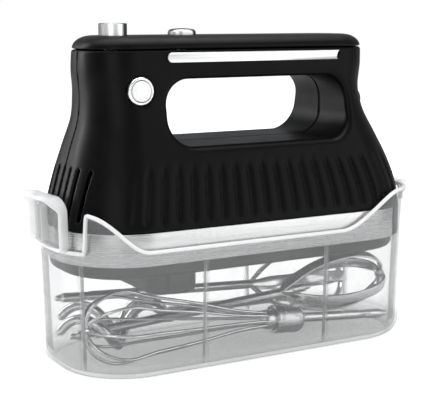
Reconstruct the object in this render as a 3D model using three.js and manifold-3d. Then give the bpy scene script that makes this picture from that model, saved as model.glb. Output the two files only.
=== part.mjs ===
// Hand mixer standing in its clear storage case, with its five attachments lying in the case.
// Millimetres. +X runs from the nose of the mixer to its rear end, +Z is up, and the near, left side is -Y.
// The origin is the middle of the case's underside.
import * as THREE from 'three';
import { mergeVertices } from 'three/addons/utils/BufferGeometryUtils.js';
import Module from 'manifold-3d';

const wasm = await Module();
wasm.setup();

// ---- driving dimensions ----

const gap = 0.3; // clearance between pieces that touch

// mixer body
const bodyHalfLength = 100;
const bodyHalfWidth = 42;
const bodyCorner = 36;
const skirtBottomZ = 55.5;
const bodyRise = 101.3; // from the skirt's lower edge to the seam of the top cover
const coverSeamZ = skirtBottomZ + bodyRise;
const shellWall = 2.2;
const crownRise = 6.5;
const crownInset = 10;
const coverWall = 2.2;

// steel band round the skirt
const bandHeight = 16;
const bandThickness = 0.8;
const bandReturn = 18; // how far short of the rear end the band stops

// base cover
const baseDepth = 7;
const baseInset = 3.6;
const baseFloor = 3.2;
const baseWall = 2;
const spigotHeight = 8;
const bossDrop = 11;
const bossRadius = 14;

// hand hole
const holeFrontWall = 36.4; // length of the front column along the body
const holeRearWall = 19.5; // length of the rear column
const handleDepth = 14.3; // from the seam down to the hole
const holeHeight = 32.5;
const holeCorner = 13;
const holeTopZ = coverSeamZ - handleDepth;
const holeBottomZ = holeTopZ - holeHeight;

// air slots in the nose
const ventCount = 7;
const ventPitch = 7;
const ventWidth = 2;
const ventDrop = 4; // above the steel band
const ventHeight = 25;
const ventDepth = 25;

// screws through the base cover
const screwRadius = 1.5;
const screwHeadRadius = 3;
const screwEndSetback = 28;
const screwSideSetback = 15;
const screwPostRadius = 4;

// steel strips in the handle
const stripHeight = 4.8;
const stripDrop = 1.3; // below the seam
const stripThickness = 1;

// drive
const shaftRise = 26; // motor shaft above the skirt's lower edge
const shaftZ = skirtBottomZ + shaftRise;
const shaftRadius = 2.5;
const spindleSetback = 54; // spindle axis behind the nose
const spindleSpacing = 36;
const spindleRadius = 5.4;
const spindleBore = 3.1;
const spindleDrop = 16.5; // below the skirt's lower edge
const spindleStandUp = 15; // above the motor shaft
const spindleBottomZ = skirtBottomZ - spindleDrop;
const spindleTopZ = shaftZ + spindleStandUp;
const wheelTeeth = 27;
const wormPitch = Math.PI;
const wormTip = 5;
const wormRoot = 3.2;
const toothClearance = 0.5;
const wheelThickness = 9;
const bushWall = 2.3;
const armatureRadius = 12.9;
const armatureLength = 26;
const motorAirGap = 0.9;

// controls
const ejectSetback = 34.4; // eject button axis behind the nose
const ejectRadius = 7;
const ejectTravel = 6;
const ejectStandUp = 5.9; // above the crown
const sliderSetback = 72.8; // slider at rest, behind the nose
const sliderX = -(bodyHalfLength - sliderSetback);
const sliderLength = 14.5;
const sliderWidth = 11;
const sliderTravel = 16;
const boostSetback = 37; // behind the nose
const boostDrop = 19.3; // below the seam
const boostX = -(bodyHalfLength - boostSetback);
const boostZ = coverSeamZ - boostDrop;
const boostRadius = 5;
const boostTravel = 2;

// cord gland
const glandRadius = 7;
const glandBore = 3.3;
const glandDrop = 29.3; // below the seam
const glandZ = coverSeamZ - glandDrop;

// storage case
const caseWall = 1.8;
const caseClearance = 1; // between the case and the mixer at the ledge
const caseDraft = 0.03;
const caseFloor = 2.2;
const caseFillet = 7;
const caseCorner = 37;
const scoopZ = skirtBottomZ + 7.5;
const shoulderZ = skirtBottomZ + 25.5;
const tongueTopZ = shoulderZ + 7.5;
const tongueHalfWidth = 20;
const lipReach = 7;
const lipThickness = 2.3;
const notchWidth = 9;
const notchBottomZ = skirtBottomZ + 6.5;
const ribX = 36;
const ribWidth = 2.2;
const ribDepth = 3.4;

// attachments
const stemRadius = 2.5;
const beaterLength = 180;
const beaterRadius = 16.5;
const beaterCage = 60;
const hookLength = 152;
const hookRadius = 8.6;
const hookCoil = 56;
const whiskLength = 182;
const whiskRadius = 18.2;
const whiskBalloon = 108;
const whiskWire = 0.8;
const collarRadius = 7.5;
const collarLength = 17;

// ---- materials ----

function finish(color, roughness, metalness) {
  return new THREE.MeshStandardMaterial({ color, roughness, metalness });
}

const matteBlack = finish(0x131314, 0.5, 0);
const darkGrey = finish(0x343436, 0.6, 0);
const brushedSteel = finish(0xc6c6c4, 0.35, 1);
const polishedSteel = finish(0xdcdcdc, 0.15, 1);
const clearPlastic = new THREE.MeshStandardMaterial({ color: 0xe4e8ea, roughness: 0.2, transparent: true, opacity: 0.35 });
const whitePlastic = finish(0xe9e9e6, 0.4, 0);
const naturalNylon = finish(0xd9d4c2, 0.5, 0);
const copper = finish(0xb2643a, 0.35, 1);
const lamination = finish(0x6d6f73, 0.55, 1);
const bronze = finish(0xb08a4a, 0.4, 1);
const carbon = finish(0x2a2a2b, 0.8, 0);
const greenBoard = finish(0x1f5a35, 0.6, 0);

// ---- solids ----

function solid(geometry) {
  const plain = geometry.clone();
  plain.deleteAttribute('normal');
  plain.deleteAttribute('uv');
  const merged = mergeVertices(plain, 1e-4);
  const corners = merged.index.array;
  const kept = [];
  for (let i = 0; i < corners.length; i += 3) {
    const [a, b, c] = [corners[i], corners[i + 1], corners[i + 2]];
    if (a !== b && b !== c && c !== a) kept.push(a, b, c);
  }
  const vertProperties = Float32Array.from(merged.attributes.position.array);
  const build = (triVerts) => new wasm.Manifold(new wasm.Mesh({ numProp: 3, vertProperties, triVerts }));
  const shape = build(Uint32Array.from(kept));
  return shape.volume() < 0 ? build(Uint32Array.from(kept).reverse()) : shape;
}

function geometryOf(shape) {
  const mesh = shape.getMesh();
  const geometry = new THREE.BufferGeometry();
  geometry.setAttribute('position', new THREE.BufferAttribute(Float32Array.from(mesh.vertProperties), 3));
  geometry.setIndex(new THREE.BufferAttribute(Uint32Array.from(mesh.triVerts), 1));
  geometry.computeVertexNormals();
  return geometry;
}

const joined = (first, ...rest) => rest.reduce((sum, piece) => sum.add(piece), first);
const cut = (blank, ...tools) => tools.reduce((left, tool) => left.subtract(tool), blank);

// Local X, Y and Z of a shape are laid along these world directions.
const X = new THREE.Vector3(1, 0, 0);
const Y = new THREE.Vector3(0, 1, 0);
const Z = new THREE.Vector3(0, 0, 1);
const minus = (v) => v.clone().negate();
const layings = {
  up: new THREE.Matrix4().makeBasis(X, Y, Z),
  outline_xz: new THREE.Matrix4().makeBasis(X, Z, minus(Y)),
  outline_yz: new THREE.Matrix4().makeBasis(Y, Z, X),
  turned_z: new THREE.Matrix4().makeBasis(X, Z, minus(Y)),
  turned_x: new THREE.Matrix4().makeBasis(Y, X, minus(Z)),
  turned_y: new THREE.Matrix4(),
};

function block(x0, x1, y0, y1, z0, z1) {
  const box = new THREE.BoxGeometry(x1 - x0, y1 - y0, z1 - z0);
  return solid(box.translate((x0 + x1) / 2, (y0 + y1) / 2, (z0 + z1) / 2));
}

function extruded(shape, depth, laying, curveSegments = 8) {
  const bar = new THREE.ExtrudeGeometry(shape, { depth, bevelEnabled: false, curveSegments });
  return bar.applyMatrix4(layings[laying]);
}

// An X-Z outline, carried from y0 to y1.
function prismY(shape, y0, y1, segments) {
  return solid(extruded(shape, y1 - y0, 'outline_xz', segments).translate(0, y1, 0));
}

// A Y-Z outline, carried from x0 to x1.
function prismX(shape, x0, x1, segments) {
  return solid(extruded(shape, x1 - x0, 'outline_yz', segments).translate(x0, 0, 0));
}

// An X-Y outline, carried from z0 to z1.
function prismZ(shape, z0, z1, segments) {
  return solid(extruded(shape, z1 - z0, 'up', segments).translate(0, 0, z0));
}

// A profile of [radius, height] points, turned about the axis through the given point.
function turned(profile, axis, at, steps = 16) {
  const points = profile.map(([r, h]) => new THREE.Vector2(r, h));
  return solid(new THREE.LatheGeometry(points, steps).applyMatrix4(layings[`turned_${axis}`]).translate(...at));
}

function disc(radius, from, to, axis, at, steps) {
  return turned([[0, from], [radius, from], [radius, to], [0, to]], axis, at, steps);
}

function ring(inner, outer, from, to, axis, at, steps) {
  return turned([[inner, from], [outer, from], [outer, to], [inner, to], [inner, from]], axis, at, steps);
}

function tube(curve, radius, steps, sides = 6) {
  const section = new THREE.Shape();
  for (let i = 0; i < sides; i += 1) {
    const angle = (2 * Math.PI * i) / sides;
    const [u, v] = [radius * Math.cos(angle), radius * Math.sin(angle)];
    if (i === 0) section.moveTo(u, v);
    else section.lineTo(u, v);
  }
  return solid(new THREE.ExtrudeGeometry(section, { extrudePath: curve, steps, bevelEnabled: false }));
}

function roundedRect(x0, x1, y0, y1, r) {
  const shape = new THREE.Shape();
  shape.moveTo(x0 + r, y0);
  shape.lineTo(x1 - r, y0);
  shape.absarc(x1 - r, y0 + r, r, -Math.PI / 2, 0);
  shape.lineTo(x1, y1 - r);
  shape.absarc(x1 - r, y1 - r, r, 0, Math.PI / 2);
  shape.lineTo(x0 + r, y1);
  shape.absarc(x0 + r, y1 - r, r, Math.PI / 2, Math.PI);
  shape.lineTo(x0, y0 + r);
  shape.absarc(x0 + r, y0 + r, r, Math.PI, 1.5 * Math.PI);
  return shape;
}

function circleHole(x, y, r) {
  const path = new THREE.Path();
  path.absarc(x, y, r, 0, 2 * Math.PI, true);
  return path;
}

// A closed skin over level rings that all have the same number of points, lowest ring first.
function loft(rings) {
  const count = rings[0].length;
  const positions = [];
  const index = [];
  rings.forEach((level) => level.forEach((p) => positions.push(p.x, p.y, p.z)));
  for (let k = 0; k + 1 < rings.length; k += 1) {
    for (let i = 0; i < count; i += 1) {
      const a = k * count + i;
      const b = k * count + ((i + 1) % count);
      index.push(a, b, b + count, a, b + count, a + count);
    }
  }
  const top = (rings.length - 1) * count;
  for (let i = 1; i + 1 < count; i += 1) {
    index.push(0, i + 1, i, top, top + i, top + i + 1);
  }
  const geometry = new THREE.BufferGeometry();
  geometry.setAttribute('position', new THREE.Float32BufferAttribute(positions, 3));
  geometry.setIndex(index);
  return solid(geometry);
}

// A level rounded rectangle. front and rear are its reaches along X from the origin.
function planRing({ front, rear, half, corner }, z, cornerSteps = 6) {
  const centres = [
    [rear - corner, half - corner, 0],
    [-(front - corner), half - corner, 1],
    [-(front - corner), -(half - corner), 2],
    [rear - corner, -(half - corner), 3],
  ];
  return centres.flatMap(([x, y, quarter]) => {
    const points = [];
    for (let i = 0; i <= cornerSteps; i += 1) {
      const angle = (quarter + i / cornerSteps) * (Math.PI / 2);
      points.push(new THREE.Vector3(x + corner * Math.cos(angle), y + corner * Math.sin(angle), z));
    }
    return points;
  });
}

function inward({ front, rear, half, corner }, inset) {
  return { front: front - inset, rear: rear - inset, half: half - inset, corner: corner - inset };
}

// ---- assembly ----

const mixerSet = new THREE.Group();

function add(name, shape, material) {
  const mesh = new THREE.Mesh(shape.isBufferGeometry ? shape : geometryOf(shape), material);
  mesh.name = name;
  mixerSet.add(mesh);
  return mesh;
}

// ---- mixer body: how far each level stands in from the skirt ----

const skirtTopZ = skirtBottomZ + bandHeight;
const bodyHeight = coverSeamZ - skirtTopZ;
const stations = [
  { share: 0, front: 0, rear: 0, side: 0, corner: 0 },
  { share: 0.13, front: 2.8, rear: 2, side: 2.1, corner: 3 },
  { share: 0.3, front: 6.8, rear: 7.8, side: 6, corner: 7 },
  { share: 0.46, front: 11, rear: 14.8, side: 11, corner: 11 },
  { share: 0.61, front: 15, rear: 21.5, side: 15, corner: 14 },
  { share: 0.75, front: 16, rear: 24.5, side: 17, corner: 16 },
  { share: 0.9, front: 15.1, rear: 22.7, side: 17.9, corner: 16 },
  { share: 1, front: 15.4, rear: 22.3, side: 18.5, corner: 16 },
];

function bodyPlan(share) {
  const after = Math.max(1, stations.findIndex((s) => s.share >= share - 1e-9));
  const [low, high] = [stations[after - 1], stations[after]];
  const t = (share - low.share) / (high.share - low.share);
  const at = (key) => low[key] + (high[key] - low[key]) * t;
  return {
    front: bodyHalfLength - at('front'),
    rear: bodyHalfLength - at('rear'),
    half: bodyHalfWidth - at('side'),
    corner: bodyCorner - at('corner'),
  };
}

const bodyPlanAt = (z) => bodyPlan(Math.max(0, Math.min(1, (z - skirtTopZ) / bodyHeight)));
const sideAt = (z) => bodyPlanAt(z).half;

function bodySolid(bottomZ, topZ, inset) {
  const levels = [bottomZ, ...stations.map((s) => skirtTopZ + s.share * bodyHeight)];
  if (topZ > coverSeamZ) levels.push(topZ);
  return loft(levels.map((z) => planRing(inward(bodyPlanAt(z), inset(z)), z)));
}

const wide = 3 * bodyHalfLength; // past everything
const bezelRadius = boostRadius + 1.8;
const bandRecess = bandThickness + gap;
const cavityInset = (z) => (z < skirtTopZ + 1 ? bandRecess + shellWall : shellWall);
const bandEndX = bodyHalfLength - bandReturn;
const holeX0 = -(bodyHalfLength - 15.1 - holeFrontWall);
const holeX1 = bodyHalfLength - 22.5 - holeRearWall;
const spindleX = -(bodyHalfLength - spindleSetback);
const spindleY = spindleSpacing / 2;
const ejectX = -(bodyHalfLength - ejectSetback);
const screwX = bodyHalfLength - screwEndSetback;
const screwY = bodyHalfWidth - screwSideSetback;

function skirtRing(outerInset, innerInset, z0, z1) {
  const plan = bodyPlan(0);
  const outside = loft([z0, z1].map((z) => planRing(inward(plan, outerInset), z)));
  const inside = loft([z0 - 1, z1 + 1].map((z) => planRing(inward(plan, innerInset), z)));
  return cut(outside, inside);
}

function screwPost(x, y) {
  const [y0, y1] = y < 0 ? [-bodyHalfWidth, y] : [y, bodyHalfWidth];
  const base = skirtBottomZ - baseDepth + baseFloor + gap;
  const web = skirtBottomZ + spigotHeight + gap;
  const post = joined(
    disc(screwPostRadius, base, web + 8, 'z', [x, y, 0], 12),
    block(x - 2, x + 2, y0, y1, web, web + 8),
  );
  return cut(post, disc(screwRadius + gap, base - 1, web + 4, 'z', [x, y, 0], 12));
}

function bodyShell() {
  const outside = bodySolid(skirtBottomZ, coverSeamZ, () => 0);
  const handHole = roundedRect(holeX0, holeX1, holeBottomZ, holeTopZ, holeCorner);
  const holeWall = roundedRect(holeX0 - shellWall, holeX1 + shellWall, holeBottomZ - shellWall,
    holeTopZ + shellWall, holeCorner + shellWall);
  const reach = bodyHalfWidth + 5;
  const cavity = cut(bodySolid(skirtBottomZ - 1, coverSeamZ + 1, cavityInset), prismY(holeWall, -reach, reach, 5));
  let shell = cut(outside, prismY(handHole, -reach, reach, 5), cavity);
  const bandSeat = skirtRing(-1, bandRecess, skirtBottomZ - 1, skirtTopZ + gap);
  shell = cut(shell, bandSeat.intersect(block(-bodyHalfLength - 5, bandEndX + gap, -reach, reach, 0, wide)));
  const ventBottomZ = skirtTopZ + ventDrop;
  for (let i = 0; i < ventCount; i += 1) {
    const y = ventPitch * (i - (ventCount - 1) / 2);
    shell = cut(shell, block(-bodyHalfLength - 5, -bodyHalfLength + ventDepth, y - ventWidth / 2, y + ventWidth / 2,
      ventBottomZ, ventBottomZ + ventHeight));
  }
  for (const x of [-screwX, screwX]) {
    for (const y of [-screwY, screwY]) {
      const inside = bodySolid(skirtBottomZ - 5, coverSeamZ, () => bandRecess + 0.5);
      shell = joined(shell, screwPost(x, y).intersect(inside));
    }
  }
  shell = cut(shell, disc(bezelRadius + gap, -bodyHalfWidth, -10, 'y', [boostX, 0, boostZ], 24));
  return cut(shell, disc(glandRadius + gap, holeX1 + 10, wide, 'x', [0, 0, glandZ], 20));
}

const shell = bodyShell();
add('left_body_shell', shell.intersect(block(-wide, wide, -wide, -gap / 2, 0, wide)), matteBlack);
add('right_body_shell', shell.intersect(block(-wide, wide, gap / 2, wide, 0, wide)), matteBlack);

// ---- top cover ----

function crown(inset, drop) {
  const plan = inward(bodyPlan(1), inset);
  const steps = 3;
  const rings = [];
  for (let i = 0; i <= steps; i += 1) {
    const angle = (i / steps) * (Math.PI / 2);
    const z = coverSeamZ + gap + (crownRise - drop) * Math.sin(angle);
    rings.push(planRing(inward(plan, (crownInset - drop) * (1 - Math.cos(angle))), z));
  }
  return rings;
}

const crownTopZ = coverSeamZ + gap + crownRise;
const ejectTopZ = crownTopZ + ejectStandUp;
const slotHalfWidth = 2.2;

function topCover() {
  const inner = crown(coverWall, coverWall);
  const hollow = joined(loft(inner), loft([planRing(inward(bodyPlan(1), coverWall), coverSeamZ - 1), inner[0]]));
  const ejectHole = disc(ejectRadius + 0.4, coverSeamZ - 1, ejectTopZ, 'z', [ejectX, 0, 0], 24);
  const slot = block(sliderX - sliderTravel - 2.8, sliderX + 2.8, -slotHalfWidth, slotHalfWidth, coverSeamZ, ejectTopZ);
  return cut(loft(crown(0, 0)), hollow, ejectHole, slot);
}

add('top_cover', topCover(), matteBlack);

// ---- steel band and handle strips ----

const bandBlank = skirtRing(0, bandThickness, skirtBottomZ, skirtTopZ);
const bandKeep = block(-bodyHalfLength - 1, bandEndX, -bodyHalfWidth - 1, bodyHalfWidth + 1, 0, wide);
add('steel_band', bandBlank.intersect(bandKeep), brushedSteel);

const stripTopZ = coverSeamZ - stripDrop;
const stripBottomZ = stripTopZ - stripHeight;

function stripOutline() {
  const radius = (stripTopZ - stripBottomZ) / 2;
  const outline = new THREE.Shape();
  outline.moveTo(holeX1 - 4.6, stripTopZ);
  outline.lineTo(holeX0 + radius + 0.5, stripTopZ);
  outline.absarc(holeX0 + radius + 0.5, stripTopZ - radius, radius, Math.PI / 2, 1.5 * Math.PI);
  outline.lineTo(holeX1 - 5.6, stripBottomZ);
  return outline;
}

const stripSeat = sideAt(stripBottomZ) + gap;
add('left_handle_strip', prismY(stripOutline(), -stripSeat - stripThickness, -stripSeat), brushedSteel);
add('right_handle_strip', prismY(stripOutline(), stripSeat, stripSeat + stripThickness), brushedSteel);

// ---- base cover ----

const baseBottomZ = skirtBottomZ - baseDepth;
const baseTopZ = skirtBottomZ + spigotHeight;
const bossBottomZ = baseBottomZ - bossDrop;

function baseCover() {
  const plan = inward(bodyPlan(0), baseInset);
  const outside = loft([
    planRing(inward(plan, 3), baseBottomZ),
    planRing(inward(plan, 0.9), baseBottomZ + 0.9),
    planRing(plan, baseBottomZ + 3),
    planRing(plan, baseTopZ),
  ]);
  const floorZ = baseBottomZ + baseFloor;
  const inside = loft([floorZ, baseTopZ + 1].map((z) => planRing(inward(plan, baseWall), z)));
  const boss = roundedRect(spindleX - bossRadius, spindleX + bossRadius, -spindleY - bossRadius,
    spindleY + bossRadius, bossRadius - 1);
  let cover = joined(cut(outside, inside), prismZ(boss, bossBottomZ, floorZ, 5));
  for (const side of [-1, 1]) {
    const bore = disc(spindleRadius + 0.5, bossBottomZ - 1, floorZ + 1, 'z', [spindleX, side * spindleY, 0]);
    cover = cut(cover, bore);
    for (const x of [-screwX, screwX]) {
      cover = cut(
        cover,
        disc(screwRadius + gap, baseBottomZ - 1, floorZ + 1, 'z', [x, side * screwY, 0], 12),
        disc(screwHeadRadius + 0.4, baseBottomZ - 1, baseBottomZ + 2, 'z', [x, side * screwY, 0], 14),
      );
    }
  }
  return cover;
}

add('base_cover', baseCover(), darkGrey);

function screw() {
  const [head, top] = [baseBottomZ + 0.2, skirtBottomZ + spigotHeight + 3];
  const under = head + 1.5;
  const profile = [[0, head], [screwHeadRadius, head], [screwHeadRadius, under], [screwRadius, under],
    [screwRadius, top], [0, top]];
  const slot = block(-1.8, 1.8, -0.4, 0.4, head - 1, head + 0.8);
  const recess = joined(slot, slot.rotate([0, 0, 90]));
  return cut(turned(profile, 'z', [0, 0, 0], 12), recess);
}

let screwNumber = 1;
for (const x of [-screwX, screwX]) {
  for (const y of [-screwY, screwY]) {
    add(`base_screw_${screwNumber}`, screw(), polishedSteel).position.set(x, y, 0);
    screwNumber += 1;
  }
}

// ---- gear housing and bushes ----

const housingFrontX = spindleX - 20;
const housingRearX = spindleX + 19.5;
const housingBottomZ = shaftZ - 22;
const housingTopZ = shaftZ + 13;
const plateThickness = 3;
const wallThickness = 2.5;
const spindleBushOuter = spindleRadius + gap + bushWall;
const shaftBushOuter = shaftRadius + gap + bushWall;

function gearHousing() {
  const halfWidth = spindleY + 13;
  const outline = roundedRect(housingFrontX, housingRearX, -halfWidth, halfWidth, 6);
  let housing = joined(
    prismZ(outline, housingBottomZ, housingBottomZ + plateThickness, 4),
    prismZ(outline, housingTopZ - plateThickness, housingTopZ, 4),
    block(housingFrontX, housingFrontX + wallThickness, -spindleY, spindleY, housingBottomZ, housingTopZ),
    block(housingRearX - wallThickness, housingRearX, -spindleY, spindleY, housingBottomZ, housingTopZ),
  );
  for (const side of [-1, 1]) {
    housing = cut(housing, disc(spindleBushOuter + gap, 0, wide, 'z', [spindleX, side * spindleY, 0]));
  }
  return cut(housing, disc(shaftBushOuter + gap, -wide, wide, 'x', [0, 0, shaftZ]));
}

add('gear_housing', gearHousing(), naturalNylon);

for (const [name, y] of [['left', -spindleY], ['right', spindleY]]) {
  for (const [level, z] of [['upper', housingTopZ - plateThickness], ['lower', housingBottomZ]]) {
    const bush = ring(spindleRadius + gap, spindleBushOuter, z - 1.5, z + plateThickness + 1, 'z', [spindleX, y, 0]);
    add(`${name}_${level}_bush`, bush, bronze);
  }
}

// ---- motor ----

const statorX0 = housingRearX + 24.5;
const statorX1 = statorX0 + armatureLength + 2;
const commutatorX0 = statorX1 + 7;
const commutatorX1 = commutatorX0 + 13;
const bracketX = commutatorX1 + 4;
const shaftEndX = bracketX + 7;
const commutatorRadius = 8.4;
const windingRadius = 11.5;

const shaftBushes = {
  front_shaft_bush: housingFrontX - 1,
  middle_shaft_bush: housingRearX - wallThickness - 1,
  rear_shaft_bush: bracketX - 1,
};
for (const [name, x] of Object.entries(shaftBushes)) {
  add(name, ring(shaftRadius + gap, shaftBushOuter, x, x + 4.8, 'x', [0, 0, shaftZ]), bronze);
}

// The worm is cut on the front end of the motor shaft.
function wormThread() {
  const turns = 7;
  const stepsPerTurn = 10;
  const start = spindleX + wormPitch / 2 - wormPitch * Math.ceil(turns / 2);
  const rings = [];
  for (let i = 0; i <= turns * stepsPerTurn; i += 1) {
    const angle = (2 * Math.PI * i) / stepsPerTurn;
    const x = start + (wormPitch * angle) / (2 * Math.PI);
    const corner = (radius, offset) => new THREE.Vector3(x + offset, radius * Math.cos(angle),
      shaftZ + radius * Math.sin(angle));
    rings.push([corner(wormRoot - 0.3, 0.75), corner(wormTip, 0.35), corner(wormTip, -0.35), corner(wormRoot - 0.3, -0.75)]);
  }
  return loft(rings);
}

const wormCore = disc(wormRoot, spindleX - 13.5, spindleX + 13.5, 'x', [0, 0, shaftZ], 16);
const plainShaft = disc(shaftRadius, housingFrontX - 1.5, shaftEndX, 'x', [0, 0, shaftZ], 16);
add('motor_shaft', joined(plainShaft, wormCore, wormThread()), polishedSteel);

function slottedCore() {
  const slots = 10;
  const outline = new THREE.Shape();
  for (let i = 0; i < slots; i += 1) {
    const middle = (2 * Math.PI * i) / slots;
    const pole = (2 * Math.PI) / slots;
    const points = [[8, 0.42], [12, 0.42], [armatureRadius, 0.4], [armatureRadius, 0.2]];
    const mirrored = points.map(([r, share]) => [r, -share]).reverse();
    [...mirrored.reverse(), ...points.slice().reverse()].forEach(([r, share], k) => {
      const angle = middle + share * pole;
      const [u, v] = [r * Math.cos(angle), r * Math.sin(angle)];
      if (i === 0 && k === 0) outline.moveTo(u, v);
      else outline.lineTo(u, v);
    });
  }
  outline.holes.push(circleHole(0, 0, shaftRadius + gap));
  return prismX(outline, statorX0 + 1, statorX0 + 1 + armatureLength, 5).translate([0, 0, shaftZ]);
}

add('armature_core', slottedCore(), lamination);

function endWinding(x0, x1) {
  const profile = [[5.5, x0], [windingRadius - 1.5, x0], [windingRadius, x0 + 1.5], [windingRadius, x1 - 1.5],
    [windingRadius - 1.5, x1], [5.5, x1], [5.5, x0]];
  return turned(profile, 'x', [0, 0, shaftZ], 20);
}

add('front_armature_winding', endWinding(statorX0 - 5, statorX0 + 1 - gap), copper);
add('rear_armature_winding', endWinding(statorX0 + 1 + armatureLength + gap, statorX0 + armatureLength + 7), copper);
add('commutator', ring(shaftRadius + gap, commutatorRadius, commutatorX0, commutatorX1, 'x', [0, 0, shaftZ], 24), copper);

function fan() {
  const [x0, x1] = [housingRearX + 5.5, housingRearX + 13.5];
  let rotor = joined(
    ring(shaftRadius + gap, 5.5, x0, x1, 'x', [0, 0, shaftZ], 18),
    ring(5, 19, x0, x0 + 1, 'x', [0, 0, shaftZ], 27),
  );
  const blades = 9;
  for (let i = 0; i < blades; i += 1) {
    const blade = block(x0 + 0.5, x1, 4.9, 18.4, -0.6, 0.6);
    rotor = joined(rotor, blade.rotate([(360 * i) / blades, 0, 0]).translate([0, 0, shaftZ]));
  }
  return rotor;
}

add('cooling_fan', fan(), naturalNylon);

const statorHalfWidth = 25;
const statorHalfHeight = 20;
const windowHalfWidth = 19;
const windowHalfHeight = 9;
const bobbinX0 = statorX0 - 5;
const bobbinX1 = statorX1 + 5;

function statorCore() {
  const outline = roundedRect(-statorHalfWidth, statorHalfWidth, shaftZ - statorHalfHeight, shaftZ + statorHalfHeight, 5);
  const window = block(statorX0 - 1, statorX1 + 1, -windowHalfWidth, windowHalfWidth,
    shaftZ - windowHalfHeight, shaftZ + windowHalfHeight);
  const bore = disc(armatureRadius + motorAirGap, statorX0 - 1, statorX1 + 1, 'x', [0, 0, shaftZ], 28);
  return cut(prismX(outline, statorX0, statorX1, 4), window, bore);
}

add('stator_core', statorCore(), lamination);

function fieldCoil(side) {
  const span = (a, b) => (side > 0 ? [shaftZ + a, shaftZ + b] : [shaftZ - b, shaftZ - a]);
  const [outer, inner] = [windowHalfWidth - gap, windowHalfWidth - 4.4];
  const pieces = [];
  for (const hand of [-1, 1]) {
    const [y0, y1] = hand > 0 ? [inner, outer] : [-outer, -inner];
    pieces.push(block(bobbinX0, bobbinX1, y0, y1, ...span(0.6, windowHalfHeight - gap)));
    pieces.push(block(bobbinX0, statorX0 - gap, y0, y1, ...span(0.6, 18)));
    pieces.push(block(statorX1 + gap, bobbinX1, y0, y1, ...span(0.6, 18)));
  }
  pieces.push(block(bobbinX0, statorX0 - gap, -outer, outer, ...span(13.4, 18)));
  pieces.push(block(statorX1 + gap, bobbinX1, -outer, outer, ...span(13.4, 18)));
  return joined(...pieces);
}

add('upper_field_coil', fieldCoil(1), copper);
add('lower_field_coil', fieldCoil(-1), copper);

// ---- brushes and rear bracket ----

const brushX = (commutatorX0 + commutatorX1) / 2;
const brushLength = 11.6;
for (const [name, side] of [['left', -1], ['right', 1]]) {
  const [near, far] = [commutatorRadius + gap, commutatorRadius + brushLength];
  const span = (a, b) => (side > 0 ? [a, b] : [-b, -a]);
  const box = (half, a, b) => block(brushX - half, brushX + half, ...span(a, b), shaftZ - half, shaftZ + half);
  add(`${name}_carbon_brush`, box(2.4, near, far), carbon);
  add(`${name}_brush_holder`, cut(box(4, near + 2, far + 4), box(2.4 + gap, 0, far + gap)), bronze);
}

const bracketHalfWidth = statorHalfWidth + 2;
const bracketShape = roundedRect(-bracketHalfWidth, bracketHalfWidth, housingBottomZ, shaftZ + statorHalfHeight, 8);
bracketShape.holes.push(circleHole(0, shaftZ, shaftBushOuter + gap));
add('rear_motor_bracket', prismX(bracketShape, bracketX, bracketX + 3, 6), naturalNylon);

// ---- spindles and worm wheels ----

const wheelReach = spindleY - wormRoot - toothClearance + 0.1;
const wheelRoot = spindleY - wormTip - toothClearance - 0.1;

function wormWheel(phase) {
  const outline = new THREE.Shape();
  for (let i = 0; i < wheelTeeth; i += 1) {
    const middle = phase + (2 * Math.PI * i) / wheelTeeth;
    [[wheelRoot, -0.95], [wheelReach, -0.45], [wheelReach, 0.45], [wheelRoot, 0.95]].forEach(([r, half], k) => {
      const angle = middle + half / r;
      const [u, v] = [r * Math.cos(angle), r * Math.sin(angle)];
      if (i === 0 && k === 0) outline.moveTo(u, v);
      else outline.lineTo(u, v);
    });
  }
  outline.holes.push(circleHole(0, 0, spindleRadius + gap));
  const wheel = extruded(outline, wheelThickness, 'up', 8).translate(0, 0, -wheelThickness / 2);
  const meetRadius = (wormTip + wormRoot) / 2;
  const lead = wormPitch / (2 * Math.PI * meetRadius) / (spindleY - meetRadius);
  const points = wheel.attributes.position;
  for (let i = 0; i < points.count; i += 1) {
    const [x, y, z] = [points.getX(i), points.getY(i), points.getZ(i)];
    const turn = z * lead;
    points.setXY(i, x * Math.cos(turn) - y * Math.sin(turn), x * Math.sin(turn) + y * Math.cos(turn));
  }
  return solid(wheel);
}

const spindleSides = [
  { name: 'left', y: -spindleY, phase: Math.PI / 2 + Math.PI / wheelTeeth },
  { name: 'right', y: spindleY, phase: -Math.PI / 2 },
];
for (const { name, y, phase } of spindleSides) {
  const spindle = ring(spindleBore, spindleRadius, spindleBottomZ, spindleTopZ, 'z', [0, 0, 0]);
  add(`${name}_spindle`, spindle, polishedSteel).position.set(spindleX, y, 0);
  add(`${name}_worm_wheel`, wormWheel(phase), whitePlastic).position.set(spindleX, y, shaftZ);
}

// ---- eject button, ejector and spring ----

const bridgeZ = spindleTopZ + ejectTravel + 1;
const ejectRodTop = crownTopZ;
const capBottomZ = coverSeamZ + 0.7;
const guideDrop = 25.3; // below the seam
const guideZ = coverSeamZ - guideDrop;

const capProfile = [[0, capBottomZ], [ejectRadius + 1.6, capBottomZ], [ejectRadius + 1.6, capBottomZ + 1.5],
  [ejectRadius, capBottomZ + 1.5], [ejectRadius, ejectTopZ - 0.8], [ejectRadius - 0.8, ejectTopZ], [0, ejectTopZ]];
const rodPocket = disc(stemRadius + gap, capBottomZ - 1, ejectRodTop + gap, 'z', [ejectX, 0, 0], 16);
add('eject_button', cut(turned(capProfile, 'z', [ejectX, 0, 0], 28), rodPocket), polishedSteel);

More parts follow.
